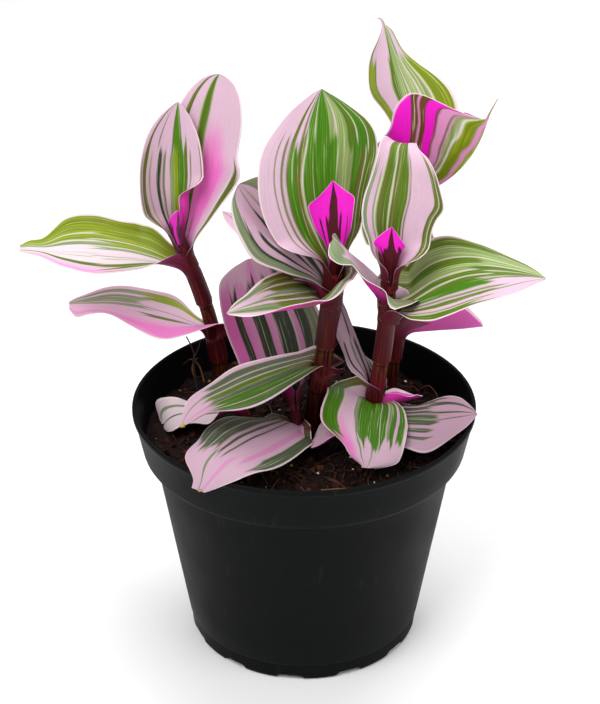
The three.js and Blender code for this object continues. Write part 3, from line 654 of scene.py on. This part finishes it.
def stem_at(stem, height):
    """The stem's middle, direction and radius at a height above the soil, in millimetres."""
    u = max(0, height) / stem["height"]
    inward = 1 + min(0, height) * ROOT_TURN
    foot, bow, top = (Vector((*stem[key], 0)) for key in ("foot", "bow", "top"))
    point = inward * (1 - u) ** 2 * foot + 2 * u * (1 - u) * bow + u * u * top
    point.z = SOIL_LEVEL + height
    slope = (2 * (1 - u) * (bow - foot) + 2 * u * (top - bow)) / stem["height"]
    along = Vector((slope.x, slope.y, 1)).normalized()
    return point, along, mix(*stem["radius"], min(1, max(0, u)))


# Leaves


def along_row(row, t, column=1):
    """A value at t on the smooth line through a row's points. A plain number is the same all along."""
    if isinstance(row, (int, float)):
        return row
    if t <= row[0][0] or t >= row[-1][0]:
        return row[0][column] if t <= row[0][0] else row[-1][column]
    index = max(i for i in range(len(row) - 1) if row[i][0] <= t)
    (t0, p0), (t1, p1) = ((row[i][0], row[i][column]) for i in (index, index + 1))

    def slope(i):
        if i == 0 or i == len(row) - 1:
            return (p1 - p0) / (t1 - t0)
        return (row[i + 1][column] - row[i - 1][column]) / (row[i + 1][0] - row[i - 1][0])

    step = t1 - t0
    u = (t - t0) / step
    return (
        (2 * u**3 - 3 * u**2 + 1) * p0 + (u**3 - 2 * u**2 + u) * step * slope(index)
        + (3 * u**2 - 2 * u**3) * p1 + (u**3 - u**2) * step * slope(index + 1)
    )


def blade_half_widths(leaf, t):
    """The blade's width on its first and its other half at t. Past 1 it is the thread at the tip."""
    if "edges" in leaf and t <= 1:
        return tuple(max(0.2, along_row(leaf["edges"], t, column)) for column in (1, 2))
    if t > 1 and leaf["point"]:
        width = THREAD_WIDTH * max(0, 1 - (t - 1) * leaf["length"] / leaf["point"]) ** 1.5 + THREAD_END
    elif t < WIDEST_PLACE:
        width = leaf["width"] / 2 * mix(leaf["base"], 1, sin(pi / 2 * (t / WIDEST_PLACE)))
    else:
        narrowed = cos(pi / 2 * min(1, (t - WIDEST_PLACE) / (1 - WIDEST_PLACE))) ** 0.7
        width = max(leaf["width"] / 2 * narrowed, 0.18)
    return width, width


def leaf_row(leaf, place, distance):
    """The blade's frame at a distance from the foot of its sheath."""
    past = distance - leaf["sheath"]
    t = max(0, past / leaf["length"])
    hook = leaf["hook"] * smooth((t - 0.65) / 0.35)
    pitch = radians(along_row(leaf["rise"], t) - leaf["droop"] * t + hook)
    side = radians(along_row(leaf["side"], t))
    crook = leaf["crook"] * smooth((t - 1) * leaf["length"] / (leaf["point"] or 1))
    lean = radians(along_row(leaf["lean"], t) + leaf["swing"] * t + crook)
    level = Vector((-sin(side), cos(side), 0))
    out = Vector((cos(pitch) * cos(side), cos(pitch) * sin(side), sin(pitch)))
    out = out * cos(lean) + level * sin(lean)
    point, stem_along, stem_radius = stem_at(STEMS[leaf["stem"]], leaf["start"] + min(distance, leaf["sheath"]))
    along = stem_along.lerp(out, smooth((past + 1) / TURN_LENGTH)).normalized()
    across = (level - along * level.dot(along)).normalized()
    across.rotate(Quaternion(along, radians(along_row(leaf["roll"], t) * smooth(t / 0.35))))
    up = along.cross(across)
    radius = leaf.get("radius", stem_radius + SHEATH_GAP)
    widths = [
        mix(radius * SHEATH_WRAP, width, smooth(past / leaf["mouth"])) for width in blade_half_widths(leaf, t)]
    opened = smooth(past / leaf["opening"])
    wraps = [
        width * mix(1 / radius, radians(along_row(cup, t)) / (leaf["width"] / 2), opened)
        for width, cup in zip(widths, (leaf["cup"], leaf["other_cup"]))]
    return dict(
        t=t, past=past, along=along, across=across, up=up, widths=widths, wraps=wraps,
        place=point - up * radius if past <= 0 else place,
        fold=radians(along_row(leaf["fold"], t)) * opened,
        outward=Vector((cos(side), sin(side), 0)))


def leaf_rows(leaf, distances):
    """The frames at a list of distances, found by following the midrib in short steps."""
    place = Vector()
    distance = 0
    rows = []
    for station in distances:
        while distance < station:
            row = leaf_row(leaf, place, distance)
            ahead = min(distance + MIDRIB_STEP, station)
            place = row["place"] + row["along"] * (0 if distance < leaf["sheath"] else ahead - distance)
            distance = ahead
        rows.append(leaf_row(leaf, place, distance))
    return rows


def curl_at(leaf, t, sign, v):
    turn = 0
    for half, low, high, begins, degrees in leaf["curls"]:
        if half == sign:
            window = smooth((t - low) / 0.15) * smooth((high - t) / 0.15)
            turn += radians(degrees) * window * smooth((v - begins) / (1 - begins))
    return turn


def half_section(leaf, row, sign, count):
    """Points from the midrib to one margin, each as its reach across, its height and its slope."""
    half = 0 if sign > 0 else 1
    step = row["widths"][half] / count

    def slope_at(v):
        return row["fold"] + row["wraps"][half] * v + curl_at(leaf, row["t"], sign, v)

    reach = rise = 0
    points = []
    for i in range(count + 1):
        points.append((reach, rise, slope_at(i / count)))
        middle = slope_at(i / count + 0.5 / count)
        reach += cos(middle) * step
        rise += sin(middle) * step
    return points


def blade_relief(leaf, t, v, sign, seed):
    """How far the blade stands off its smooth form: a wavy margin, ripples, a sunken midrib and its bumps."""
    ends = smooth(t / 0.3) * smooth((1 - t) / 0.2)
    waves = 0.7 * v ** 4 * ends * sin(3 * pi * t + seed + sign)
    waves += 0.5 * noise.noise(Vector((v * 1.7, t * 5, seed * 5.3))) * v * v * smooth(t / 0.2)
    for side, at, spread, raised in leaf["bumps"]:
        if side == sign:
            waves += raised * v * v * exp(-(((t - at) / spread) ** 2))
    return waves - 0.4 * exp(-((v / 0.06) ** 2)) * smooth(t / 0.15) * smooth((1 - t) / 0.3)


def leaf_bmesh(leaf, seed, blade):
    """A leaf as a flat grid with a second face below it, bent into its shape row by row."""
    count = max(8, round(leaf["width"] / COLUMN_WIDTH))
    total = leaf["sheath"] + leaf["length"] + leaf["point"]
    rows_count = max(20, round(total / ROW_LENGTH))
    # The rows stand a little closer together towards the tip.
    rows = leaf_rows(leaf, [total * (1 - (1 - j / rows_count) ** 1.2) for j in range(rows_count + 1)])
    halves = [{sign: half_section(leaf, row, sign, count) for sign in (1, -1)} for row in rows]
    bm = bmesh.new()
    leaf_map = bm.verts.layers.float_vector.new("leaf_map")
    leaf_rim = bm.verts.layers.float.new("leaf_rim")
    bmesh.ops.create_grid(bm, x_segments=2 * count, y_segments=rows_count, size=1)
    upper = set(bm.verts)
    bmesh.ops.extrude_face_region(bm, geom=bm.faces[:], use_keep_orig=True)
    for vert in bm.verts:
        v = vert.co.x
        index = round((vert.co.y + 1) / 2 * rows_count)
        row = rows[index]
        t, past = row["t"], row["past"]
        face = 1 if vert in upper else 0
        sign = -1 if v < 0 else 1
        half = 0 if sign > 0 else 1
        reach, rise, slope = halves[index][sign][round(abs(v) * count)]
        if abs(v) < 1e-6:
            slope = 0
        thick = blade / MM / 2 * (1 - 0.6 * abs(v) ** 8) * (1 - 0.5 * smooth((t - 0.9) / 0.1))
        lift = thick if face else -thick
        sideways = reach - lift * sin(slope)
        height = rise + lift * cos(slope) + blade_relief(leaf, t, v, sign, seed)
        lobe = smooth(abs(v) * 1.2) * (1 - smooth(past / LOBE_LENGTH)) if past > 0 else 0
        wrapped = Vector((0, 0, leaf["lifts"][half])) - row["outward"] * leaf["lobes"][half]
        place = row["place"] + row["across"] * sign * sideways + row["up"] * height + wrapped * lobe
        vert.co = place * MM
        # Where a leaf bends over, its stripes fan out and end at the margin of one half.
        fanned = v * (1 - min(1, t)) ** leaf["fan"] if v < 0 else v
        along = past / leaf["length"] if past > 0 else past / leaf["sheath"] * 0.3
        vert[leaf_map] = (fanned, along, face)
        vert[leaf_rim] = abs(v)
    return bm


def make_leaves(settings):
    """The striped leaves, each a piece with a material of its own."""
    leaf_pattern_group()
    leaf_finish_group()
    for seed, (name, leaf) in enumerate(LEAVES.items()):
        bm = leaf_bmesh(leaf, seed, settings.blade)
        add_piece(name + "_blade", bm, leaf_material(name, seed, settings), [name], sharp=60)


# Stems


def tube_bmesh(bm, points, radii, sides=8, layer=None, mark=None):
    """Adds a closed tube along a row of points, as a grid that is rolled up and welded."""
    points = [point * MM for point in points]
    last = len(points) - 1
    made = bmesh.ops.create_grid(bm, x_segments=sides, y_segments=last, size=1)["verts"]
    along = (points[-1] - points[0]).normalized()
    across = along.orthogonal().normalized()
    other = along.cross(across)
    for vert in made:
        index = round((vert.co.y + 1) / 2 * last)
        angle = pi * (vert.co.x + 1)
        vert.co = points[index] + (across * cos(angle) + other * sin(angle)) * (radii[index] * MM)
        if layer:
            vert[layer] = mark
    edges = {edge for vert in made for edge in vert.link_edges}
    bmesh.ops.remove_doubles(bm, verts=made, dist=1e-7)
    open_edges = [edge for edge in edges if edge.is_valid and edge.is_boundary]
    bmesh.ops.holes_fill(bm, edges=open_edges, sides=0)


def near_joints(joints, height, spread):
    """1 at a joint, and less above and below it."""
    return min(1, sum(exp(-(((height - joint) / spread) ** 2)) for joint in joints))


def stem_bmesh(stem, joints):
    """A stem with a swollen ring at each leaf's foot."""
    low, high = -ROOTED_LENGTH, stem["height"] + 0.5
    rows = max(12, round((high - low) / STEM_ROW))
    bm = bmesh.new()
    stem_map = bm.verts.layers.float_vector.new("stem_map")
    stem_tint = bm.verts.layers.float_vector.new("stem_tint")
    bmesh.ops.create_grid(bm, x_segments=28, y_segments=rows, size=1)
    for vert in bm.verts:
        height = mix(low, high, (vert.co.y + 1) / 2)
        angle = pi * (vert.co.x + 1)
        point, along, radius = stem_at(stem, height)
        across = (Vector((1, 0, 0)) - along * along.x).normalized()
        other = along.cross(across)
        rib = 0.03 * sin(7 * angle)
        rib += 0.05 * noise.noise(Vector((cos(angle), sin(angle), height / 4)))
        radius *= 1 + 0.1 * near_joints(joints, height, 1.3)
        radius += rib - 0.12 * near_joints(joints, height + 1.6, 0.5)
        radius -= radius * 0.35 * smooth((height - stem["height"] + 1) / 1.5)
        vert.co = (point + (across * cos(angle) + other * sin(angle)) * radius) * MM
        vert[stem_map] = (cos(angle), sin(angle), height)
        above = sum(exp(-max(0, height - joint) / 7) for joint in joints if height > joint - 1)
        below = sum(exp(-max(0, joint - height) / 5) for joint in joints if height < joint)
        vert[stem_tint] = (min(1, above), min(1, below), near_joints(joints, height + 1.4, 0.45))
    bmesh.ops.remove_doubles(bm, verts=bm.verts[:], dist=1e-6)
    bmesh.ops.holes_fill(bm, edges=[edge for edge in bm.edges if edge.is_boundary], sides=0)
    return bm


def make_stems(settings):
    """The stems, whose tint says how near a point is to the joint below, the joint above and a joint's ring."""
    material, shader = new_material("streaked_maroon_stem")
    place = shader.attribute("stem_map", "Vector")
    above, below, ring = shader.node(
        "ShaderNodeSeparateColor", {0: shader.attribute("stem_tint", "Color")}).outputs
    streak = shader.noise(shader.stretched(place, (5, 5, 0.09)), 1, 4)
    cloud = shader.noise(shader.stretched(place, (0.7, 0.7, 0.1)), 1, 2)
    rosy = shader.times(above, shader.spread(streak, 0.2, 0.65, 0, 0.7))
    olive = shader.times(below, shader.spread(streak, 0.4, 0.6, 0, 0.4))
    colour = shader.coats(
        "#260408", (shader.spread(streak, 0.4, 0.62), (*settings.stem_colour, 1)),
        (shader.spread(cloud, 0.45, 0.7, 0, 0.2), "#542a08"), (rosy, "#861a34"), (olive, "#6e5c1e"),
        (shader.times(ring, 0.75), "#2c090e"))
    shader.dress(Base_Color=colour, Roughness=shader.spread(streak, 0.3, 0.7, 0.34, 0.48),
                 Specular_IOR_Level=0.1, Normal=shader.bump(streak, 0.1, 0.2))
    for name, stem in STEMS.items():
        joints = [leaf["start"] for leaf in LEAVES.values() if leaf["stem"] == name and "radius" not in leaf]
        add_piece("stem_" + name + "_cane", stem_bmesh(stem, joints), material, ["stem_" + name])


# Pot and soil


def rounded(profile):
    """Points along a profile whose corners are cut by short arcs."""
    points = [Vector((r, 0, z)) for r, z, _ in profile]
    result = []
    for index, (_, _, size) in enumerate(profile):
        point = points[index]
        if size == 0:
            result.append(point)
            continue
        before, after = (point + (points[side] - point).normalized() * size for side in (index - 1, index + 1))
        result += [bowed(before, point, after, step / 3) for step in range(4)]
    return result


def spun_bmesh(profile, steps):
    """A profile turned once round the upright axis."""
    bm = bmesh.new()
    verts = [bm.verts.new(point * MM) for point in profile]
    edges = [bm.edges.new(pair) for pair in zip(verts, verts[1:])]
    bmesh.ops.spin(
        bm, geom=verts + edges, cent=(0, 0, 0), axis=(0, 0, 1), angle=2 * pi, steps=steps, use_merge=True)
    bmesh.ops.remove_doubles(bm, verts=bm.verts[:], dist=1e-6)
    return bm


def make_pot(settings):
    """The pot's shell, with its band at the rim and the channels under its foot."""
    corners = rounded([(0, 0, 0), *POT_OUTSIDE, *POT_INSIDE, (0, POT_FLOOR, 0)])
    line = []
    for a, b in zip(corners, corners[1:]):
        pieces = max(1, round((b - a).length / POT_ROW))
        line += [a.lerp(b, k / pieces) for k in range(pieces)]
    bm = spun_bmesh([*line, corners[-1]], settings.sides)
    # Each channel is a stretch of the foot's underside that is raised a little.
    between = 2 * pi / CHANNELS
    for vert in bm.verts:
        radius = hypot(vert.co.x, vert.co.y) / MM
        angle = atan2(vert.co.y, vert.co.x) - radians(CHANNEL_TURN)
        aside = radius * sin(angle - round(angle / between) * between)
        if vert.co.z < CHANNEL_REACH * MM and radius > CHANNEL_START and abs(aside) < CHANNEL_HALF_WIDTH:
            vert.co.z = max(vert.co.z, CHANNEL_HEIGHT * MM)
    material, shader = new_material("satin_black_plastic")
    place = shader.place()
    cloud = shader.noise(place, 38, 4)
    scuffs = shader.noise(shader.stretched(place, (1, 1, 0.12)), 420, 2)
    colour = shader.coats(
        (*settings.colour, 1), (shader.times(cloud, 0.5), "#151717"),
        (shader.spread(scuffs, 0.66, 0.74, 0, 0.1), "#3a3d3c"))
    shader.dress(Base_Color=colour, Roughness=shader.spread(cloud, 0.3, 0.7, 0.42, 0.54),
                 Specular_IOR_Level=0.05, Normal=shader.bump(shader.noise(place, 2600, 1), 0.12, 0.1))
    add_piece("pot_shell", bm, material, ["pot"], sharp=35)


def soil_height(x, y, relief):
    """The height of the soil's top: low waves, small lumps and a dip along the pot's wall."""
    waves = sum(size * sin(right * x + away * y + shift) for size, right, away, shift in SOIL_WAVES)
    lumps = noise.fractal(Vector((x / LUMP_SIZE, y / LUMP_SIZE, 0.3)), 1, 2.1, 4)
    dip = DIP_DEPTH * smooth((hypot(x, y) - SOIL_EDGE) / DIP_WIDTH + 1)
    return SOIL_LEVEL + 0.9 * (waves - 1.4) / 2.6 + relief / MM * (lumps * 0.9 - 0.25) - dip


def free_place(chance, spare):
    """A place on the soil, found by chance, that keeps clear of the pot's wall and of every stem."""
    while True:
        x, y = chance.uniform(-51, 51), chance.uniform(-51, 51)
        near = min(dist((x, y), stem["foot"]) - stem["radius"][0] for stem in STEMS.values())
        if hypot(x, y) < SOIL_EDGE - 1 - spare and near > spare:
            return x, y


def add_lump(bm, chance, at, turn, shape, rough, subdivisions=1, radius=1):
    """Adds a ball that is stretched to its shape, turned, and roughened by chance."""
    matrix = Matrix.Scale(MM, 4) @ Matrix.Translation(at) @ turn.to_matrix().to_4x4()
    matrix @= Matrix.Diagonal((*shape, 1))
    verts = bmesh.ops.create_icosphere(bm, subdivisions=subdivisions, radius=radius, matrix=matrix)["verts"]
    for vert in verts:
        vert.co += Vector([chance.uniform(-rough, rough) * shape[0] * MM for _ in range(3)])
    return verts


def make_crumbs(settings, chance):
    """Bark crumbs, golden bits and white grains strewn on the soil."""
    bm = bmesh.new()
    tone = bm.verts.layers.float.new("tone")

    def crumb(size, shade, flat):
        x, y = free_place(chance, size)
        turn = Quaternion((chance.gauss(0, 1), chance.gauss(0, 1), chance.gauss(0, 1)), chance.uniform(0, 6))
        shape = (size, size * chance.uniform(0.5, 0.9), size * flat)
        at = Vector((x, y, soil_height(x, y, settings.relief) + size * flat * 0.35))
        for vert in add_lump(bm, chance, at, turn, shape, 0.22):
            vert[tone] = shade

    for _ in range(settings.crumbs):
        crumb(chance.uniform(0.45, 1.5) if chance.random() < 0.9 else chance.uniform(1.5, 2.6),
              chance.uniform(0, 0.55), chance.uniform(0.5, 0.9))
    for _ in range(GOLDEN_BITS):
        crumb(chance.uniform(0.3, 0.8), chance.uniform(0.72, 0.8), 0.5)
    for _ in range(WHITE_GRAINS):
        crumb(chance.uniform(0.25, 0.8), 1, 0.8)
    material, shader = new_material("bark_crumbs_and_perlite")
    tones = [(position, (*linear(colour), 1)) for position, colour in CRUMB_TONES]
    tint = shader.ramp(shader.attribute("tone", "Fac"), tones)[0]
    dust = shader.noise(shader.place(), 1300, 3)
    shader.dress(Base_Color=shader.mixed(shader.spread(dust, 0.4, 0.7, 0, 0.45), tint, "#1a0e0a"),
                 Roughness=shader.spread(dust, 0.3, 0.7, 0.7, 0.95), Specular_IOR_Level=0.15,
                 Normal=shader.bump(dust, 0.6, 0.4))
    add_piece("soil_crumbs", bm, material, sharp=40)


def make_fibres(settings, chance):
    """Fine fibres that lie in low bows on the soil."""
    bm = bmesh.new()
    for _ in range(FIBRES):
        x, y = free_place(chance, 2.5)
        length, turn = chance.uniform(3, 11), chance.uniform(0, 6.3)
        start = Vector((x, y, soil_height(x, y, settings.relief) + 0.3))
        bend = Vector((chance.uniform(-2, 2), chance.uniform(-2, 2), chance.uniform(0.3, 2.2)))
        end = start + Vector((cos(turn), sin(turn), 0)) * length
        if hypot(end.x, end.y) > SOIL_EDGE - 1.5:
            continue
        end.z = soil_height(end.x, end.y, settings.relief) + 0.1
        path = [bowed(start, (start + end) / 2 + bend, end, u) for u in (0, 0.2, 0.4, 0.6, 0.8, 1)]
        size = chance.uniform(0.1, 0.26)
        tube_bmesh(bm, path, [size * share for share in (1, 1, 0.9, 0.8, 0.7, 0.4)], sides=4)
    material, shader = new_material("peat_fibre")
    place = shader.place()
    colour = shader.mixed(shader.spread(shader.noise(place, 90), 0.35, 0.65), "#20100b", "#50311c")
    shader.dress(Base_Color=colour, Roughness=0.8, Normal=shader.bump(shader.noise(place, 2000), 0.4, 0.1))
    add_piece("soil_fibres", bm, material)


def make_soil(settings):
    """The bed of soil. Its profile goes up the pot's wall, and to the middle in rings a millimetre apart."""
    rings = [(SOIL_EDGE - ring, SOIL_LEVEL) for ring in range(1, round(SOIL_EDGE) + 1)]
    bm = spun_bmesh([Vector((r, 0, z)) for r, z in (*SOIL_PROFILE, *rings)], SOIL_SIDES)
    for vert in bm.verts:
        if vert.co.z > (SOIL_LEVEL - 1) * MM:
            vert.co.z = soil_height(vert.co.x / MM, vert.co.y / MM, settings.relief) * MM
    material, shader = new_material("damp_potting_soil")
    place = shader.place()
    clods = shader.noise(place, 260, 5)
    dust = shader.noise(place, 1500, 3)
    colour = shader.coats(
        "#0d0705", (shader.spread(clods, 0.35, 0.65), (*settings.colour, 1)),
        (shader.spread(dust, 0.56, 0.72), "#4a2617"))
    shader.dress(Base_Color=colour, Roughness=shader.spread(dust, 0.3, 0.6, 0.65, 0.95),
                 Specular_IOR_Level=0.15, Normal=shader.bump(shader.plus(clods, dust), 0.8, 0.8))
    add_piece("soil_bed", bm, material, ["soil"])
    chance = random.Random(11)
    make_crumbs(settings, chance)
    make_fibres(settings, chance)


# Trimmings and studio


def make_trimmings():
    """The small things: hairs round the mouths of the sheaths, dry tips, a dead twig and some roots."""
    chance = random.Random(4)
    bm = bmesh.new()
    for leaf in LEAVES.values():
        if "radius" in leaf:
            continue
        middle, along, radius = stem_at(STEMS[leaf["stem"]], leaf["start"] + leaf["sheath"])
        across = along.orthogonal().normalized()
        for _ in range(HAIRS):
            outward = Quaternion(along, chance.uniform(0, 2 * pi)) @ across
            foot = middle + outward * (radius + 0.3) + along * chance.uniform(-0.5, 0.2)
            length = chance.uniform(0.8, 2)
            bent = foot + (along * 0.5 + outward * chance.uniform(0.1, 0.5)) * length
            end = bent + (along * chance.uniform(0.1, 0.5) + outward * 0.5) * length
            tube_bmesh(bm, (foot, bent, end), HAIR_RADII, sides=3)
    material, shader = new_material("pale_hairs")
    shader.dress(Base_Color="#c9a9a8", Roughness=0.6)
    add_piece("sheath_hairs", bm, material)

    bm = bmesh.new()
    for name, size in DRY_TIPS.items():
        leaf = LEAVES[name]
        tip = leaf_rows(leaf, [leaf["sheath"] + leaf["length"]])[0]["place"]
        for _ in range(3):
            at = tip + Vector([chance.uniform(-0.4, 0.4) * size for _ in range(3)])
            turn = Quaternion((chance.gauss(0, 1), chance.gauss(0, 1), 1), chance.uniform(0, 6))
            add_lump(bm, chance, at, turn, (size, size * 0.6, size * 0.35), 0.09, subdivisions=2, radius=0.7)
    material, shader = new_material("dry_leaf_tips")
    patches = shader.noise(shader.place(), 900, 3)
    shader.dress(Base_Color=shader.mixed(shader.spread(patches, 0.4, 0.6), "#7a5620", "#b89a4a"),
                 Roughness=0.8, Normal=shader.bump(patches, 0.5, 0.2))
    add_piece("dry_tips", bm, material)

    bm = bmesh.new()
    tone = bm.verts.layers.float.new("tone")
    for shade, size, path in TWIGS:
        points = [Vector(point) for point in path]
        full = [a.lerp(b, k / 4) for a, b in zip(points, points[1:]) for k in range(4)] + [points[-1]]
        for _ in range(2):
            full = [full[0], *((a + b * 2 + c) / 4 for a, b, c in zip(full, full[1:], full[2:])), full[-1]]
        radii = [size * (1 - 0.6 * i / len(full)) * chance.uniform(0.85, 1.1) for i in range(len(full))]
        tube_bmesh(bm, full, radii, sides=7, layer=tone, mark=shade)
    material, shader = new_material("dead_twig_and_roots")
    bark = shader.noise(shader.place(), 1200, 4)
    colour = shader.mixed(shader.attribute("tone", "Fac"), "#1d1210", "#7c5228")
    shader.dress(Base_Color=shader.mixed(shader.spread(bark, 0.4, 0.65, 0, 0.5), colour, "#2a1710"),
                 Roughness=0.85, Normal=shader.bump(bark, 0.6, 0.2))
    add_piece("twig_and_roots", bm, material)


def make_studio(settings):
    """The floor, the lights and the camera, which aren't part of the object."""
    scene = bpy.context.scene
    bm = bmesh.new()
    bmesh.ops.create_grid(bm, x_segments=1, y_segments=1, size=FLOOR_REACH)
    mesh = bpy.data.meshes.new("floor")
    bm.to_mesh(mesh)
    bm.free()
    material, shader = new_material("pale_floor")
    cloud = shader.times(shader.noise(shader.place(), 3), 0.06)
    shader.dress(Base_Color=shader.mixed(cloud, (*settings.floor_colour, 1), "#efefee"), Roughness=0.7)
    mesh.materials.append(material)
    floor = bpy.data.objects.new("floor", mesh)
    scene.collection.objects.link(floor)

    scene.world = bpy.data.worlds.new("studio")
    scene.world.use_nodes = True
    background = scene.world.node_tree.nodes["Background"].inputs
    background["Color"].default_value = (1, 1, 1, 1)
    background["Strength"].default_value = WORLD_LIGHT * settings.light
    for name, (place, size, power) in LIGHTS.items():
        light = bpy.data.lights.new(name, "AREA")
        light.shape = "SQUARE"
        light.size = size
        light.energy = power * settings.light
        lamp = bpy.data.objects.new(name, light)
        lamp.location = place
        lamp.rotation_euler = (Vector(LIGHTS_AIM) - Vector(place)).to_track_quat("-Z", "Y").to_euler()
        scene.collection.objects.link(lamp)

    view = bpy.data.cameras.new("camera")
    view.sensor_width = SENSOR_WIDTH
    view.lens = LENS
    view.clip_end = 20
    camera = bpy.data.objects.new("camera", view)
    camera.location = [value * MM for value in CAMERA_PLACE]
    camera.rotation_euler = (radians(90 - CAMERA_DOWN), 0, 0)
    scene.collection.objects.link(camera)
    scene.camera = camera
    scene.view_settings.view_transform = "Standard"


# Operators and panel


class TRADESCANTIA_OT_pot(bpy.types.Operator):
    """Make the black nursery pot"""

    bl_idname = "tradescantia.pot"
    bl_label = "Pot"

    def execute(self, context):
        make_pot(context.scene.tradescantia_pot)
        return {"FINISHED"}


class TRADESCANTIA_OT_soil(bpy.types.Operator):
    """Make the soil with its crumbs and fibres"""

    bl_idname = "tradescantia.soil"
    bl_label = "Soil"

    def execute(self, context):
        make_soil(context.scene.tradescantia_soil)
        return {"FINISHED"}


class TRADESCANTIA_OT_stems(bpy.types.Operator):
    """Make the jointed stems"""

    bl_idname = "tradescantia.stems"
    bl_label = "Stems"

    def execute(self, context):
        make_stems(context.scene.tradescantia_plant)
        return {"FINISHED"}


class TRADESCANTIA_OT_leaves(bpy.types.Operator):
    """Make the striped leaves"""

    bl_idname = "tradescantia.leaves"
    bl_label = "Leaves"

    def execute(self, context):
        make_leaves(context.scene.tradescantia_plant)
        return {"FINISHED"}


class TRADESCANTIA_OT_trimmings(bpy.types.Operator):
    """Make the hairs, dry tips, twig and roots"""

    bl_idname = "tradescantia.trimmings"
    bl_label = "Trimmings"

    def execute(self, context):
        make_trimmings()
        return {"FINISHED"}


class TRADESCANTIA_OT_studio(bpy.types.Operator):
    """Make the floor, lights and camera"""

    bl_idname = "tradescantia.studio"
    bl_label = "Studio"

    def execute(self, context):
        make_studio(context.scene.tradescantia_studio)
        return {"FINISHED"}


OPERATORS = (
    TRADESCANTIA_OT_studio, TRADESCANTIA_OT_pot, TRADESCANTIA_OT_soil, TRADESCANTIA_OT_stems,
    TRADESCANTIA_OT_leaves, TRADESCANTIA_OT_trimmings,
)
SETTINGS = {"pot": PotSettings, "soil": SoilSettings, "plant": PlantSettings, "studio": StudioSettings}


class TRADESCANTIA_PT_panel(bpy.types.Panel):
    bl_idname = "TRADESCANTIA_PT_panel"
    bl_label = "Tradescantia"
    bl_space_type = "VIEW_3D"
    bl_region_type = "UI"
    bl_category = "Tradescantia"

    def draw(self, context):
        for key, group in SETTINGS.items():
            box = self.layout.box()
            box.label(text=key.capitalize())
            for prop in group.__annotations__:
                box.prop(getattr(context.scene, "tradescantia_" + key), prop)
        for operator in OPERATORS:
            self.layout.operator(operator.bl_idname)


def register():
    for cls in (*SETTINGS.values(), *OPERATORS, TRADESCANTIA_PT_panel):
        bpy.utils.register_class(cls)
    for key, group in SETTINGS.items():
        setattr(bpy.types.Scene, "tradescantia_" + key, PointerProperty(type=group))


def unregister():
    for key in SETTINGS:
        delattr(bpy.types.Scene, "tradescantia_" + key)
    for cls in (TRADESCANTIA_PT_panel, *reversed(OPERATORS), *reversed(SETTINGS.values())):
        bpy.utils.unregister_class(cls)


def main():
    register()
    for name in ("studio", "pot", "soil", "stems", "leaves", "trimmings"):
        getattr(bpy.ops.tradescantia, name)()


if __name__ == "__main__":
    main()
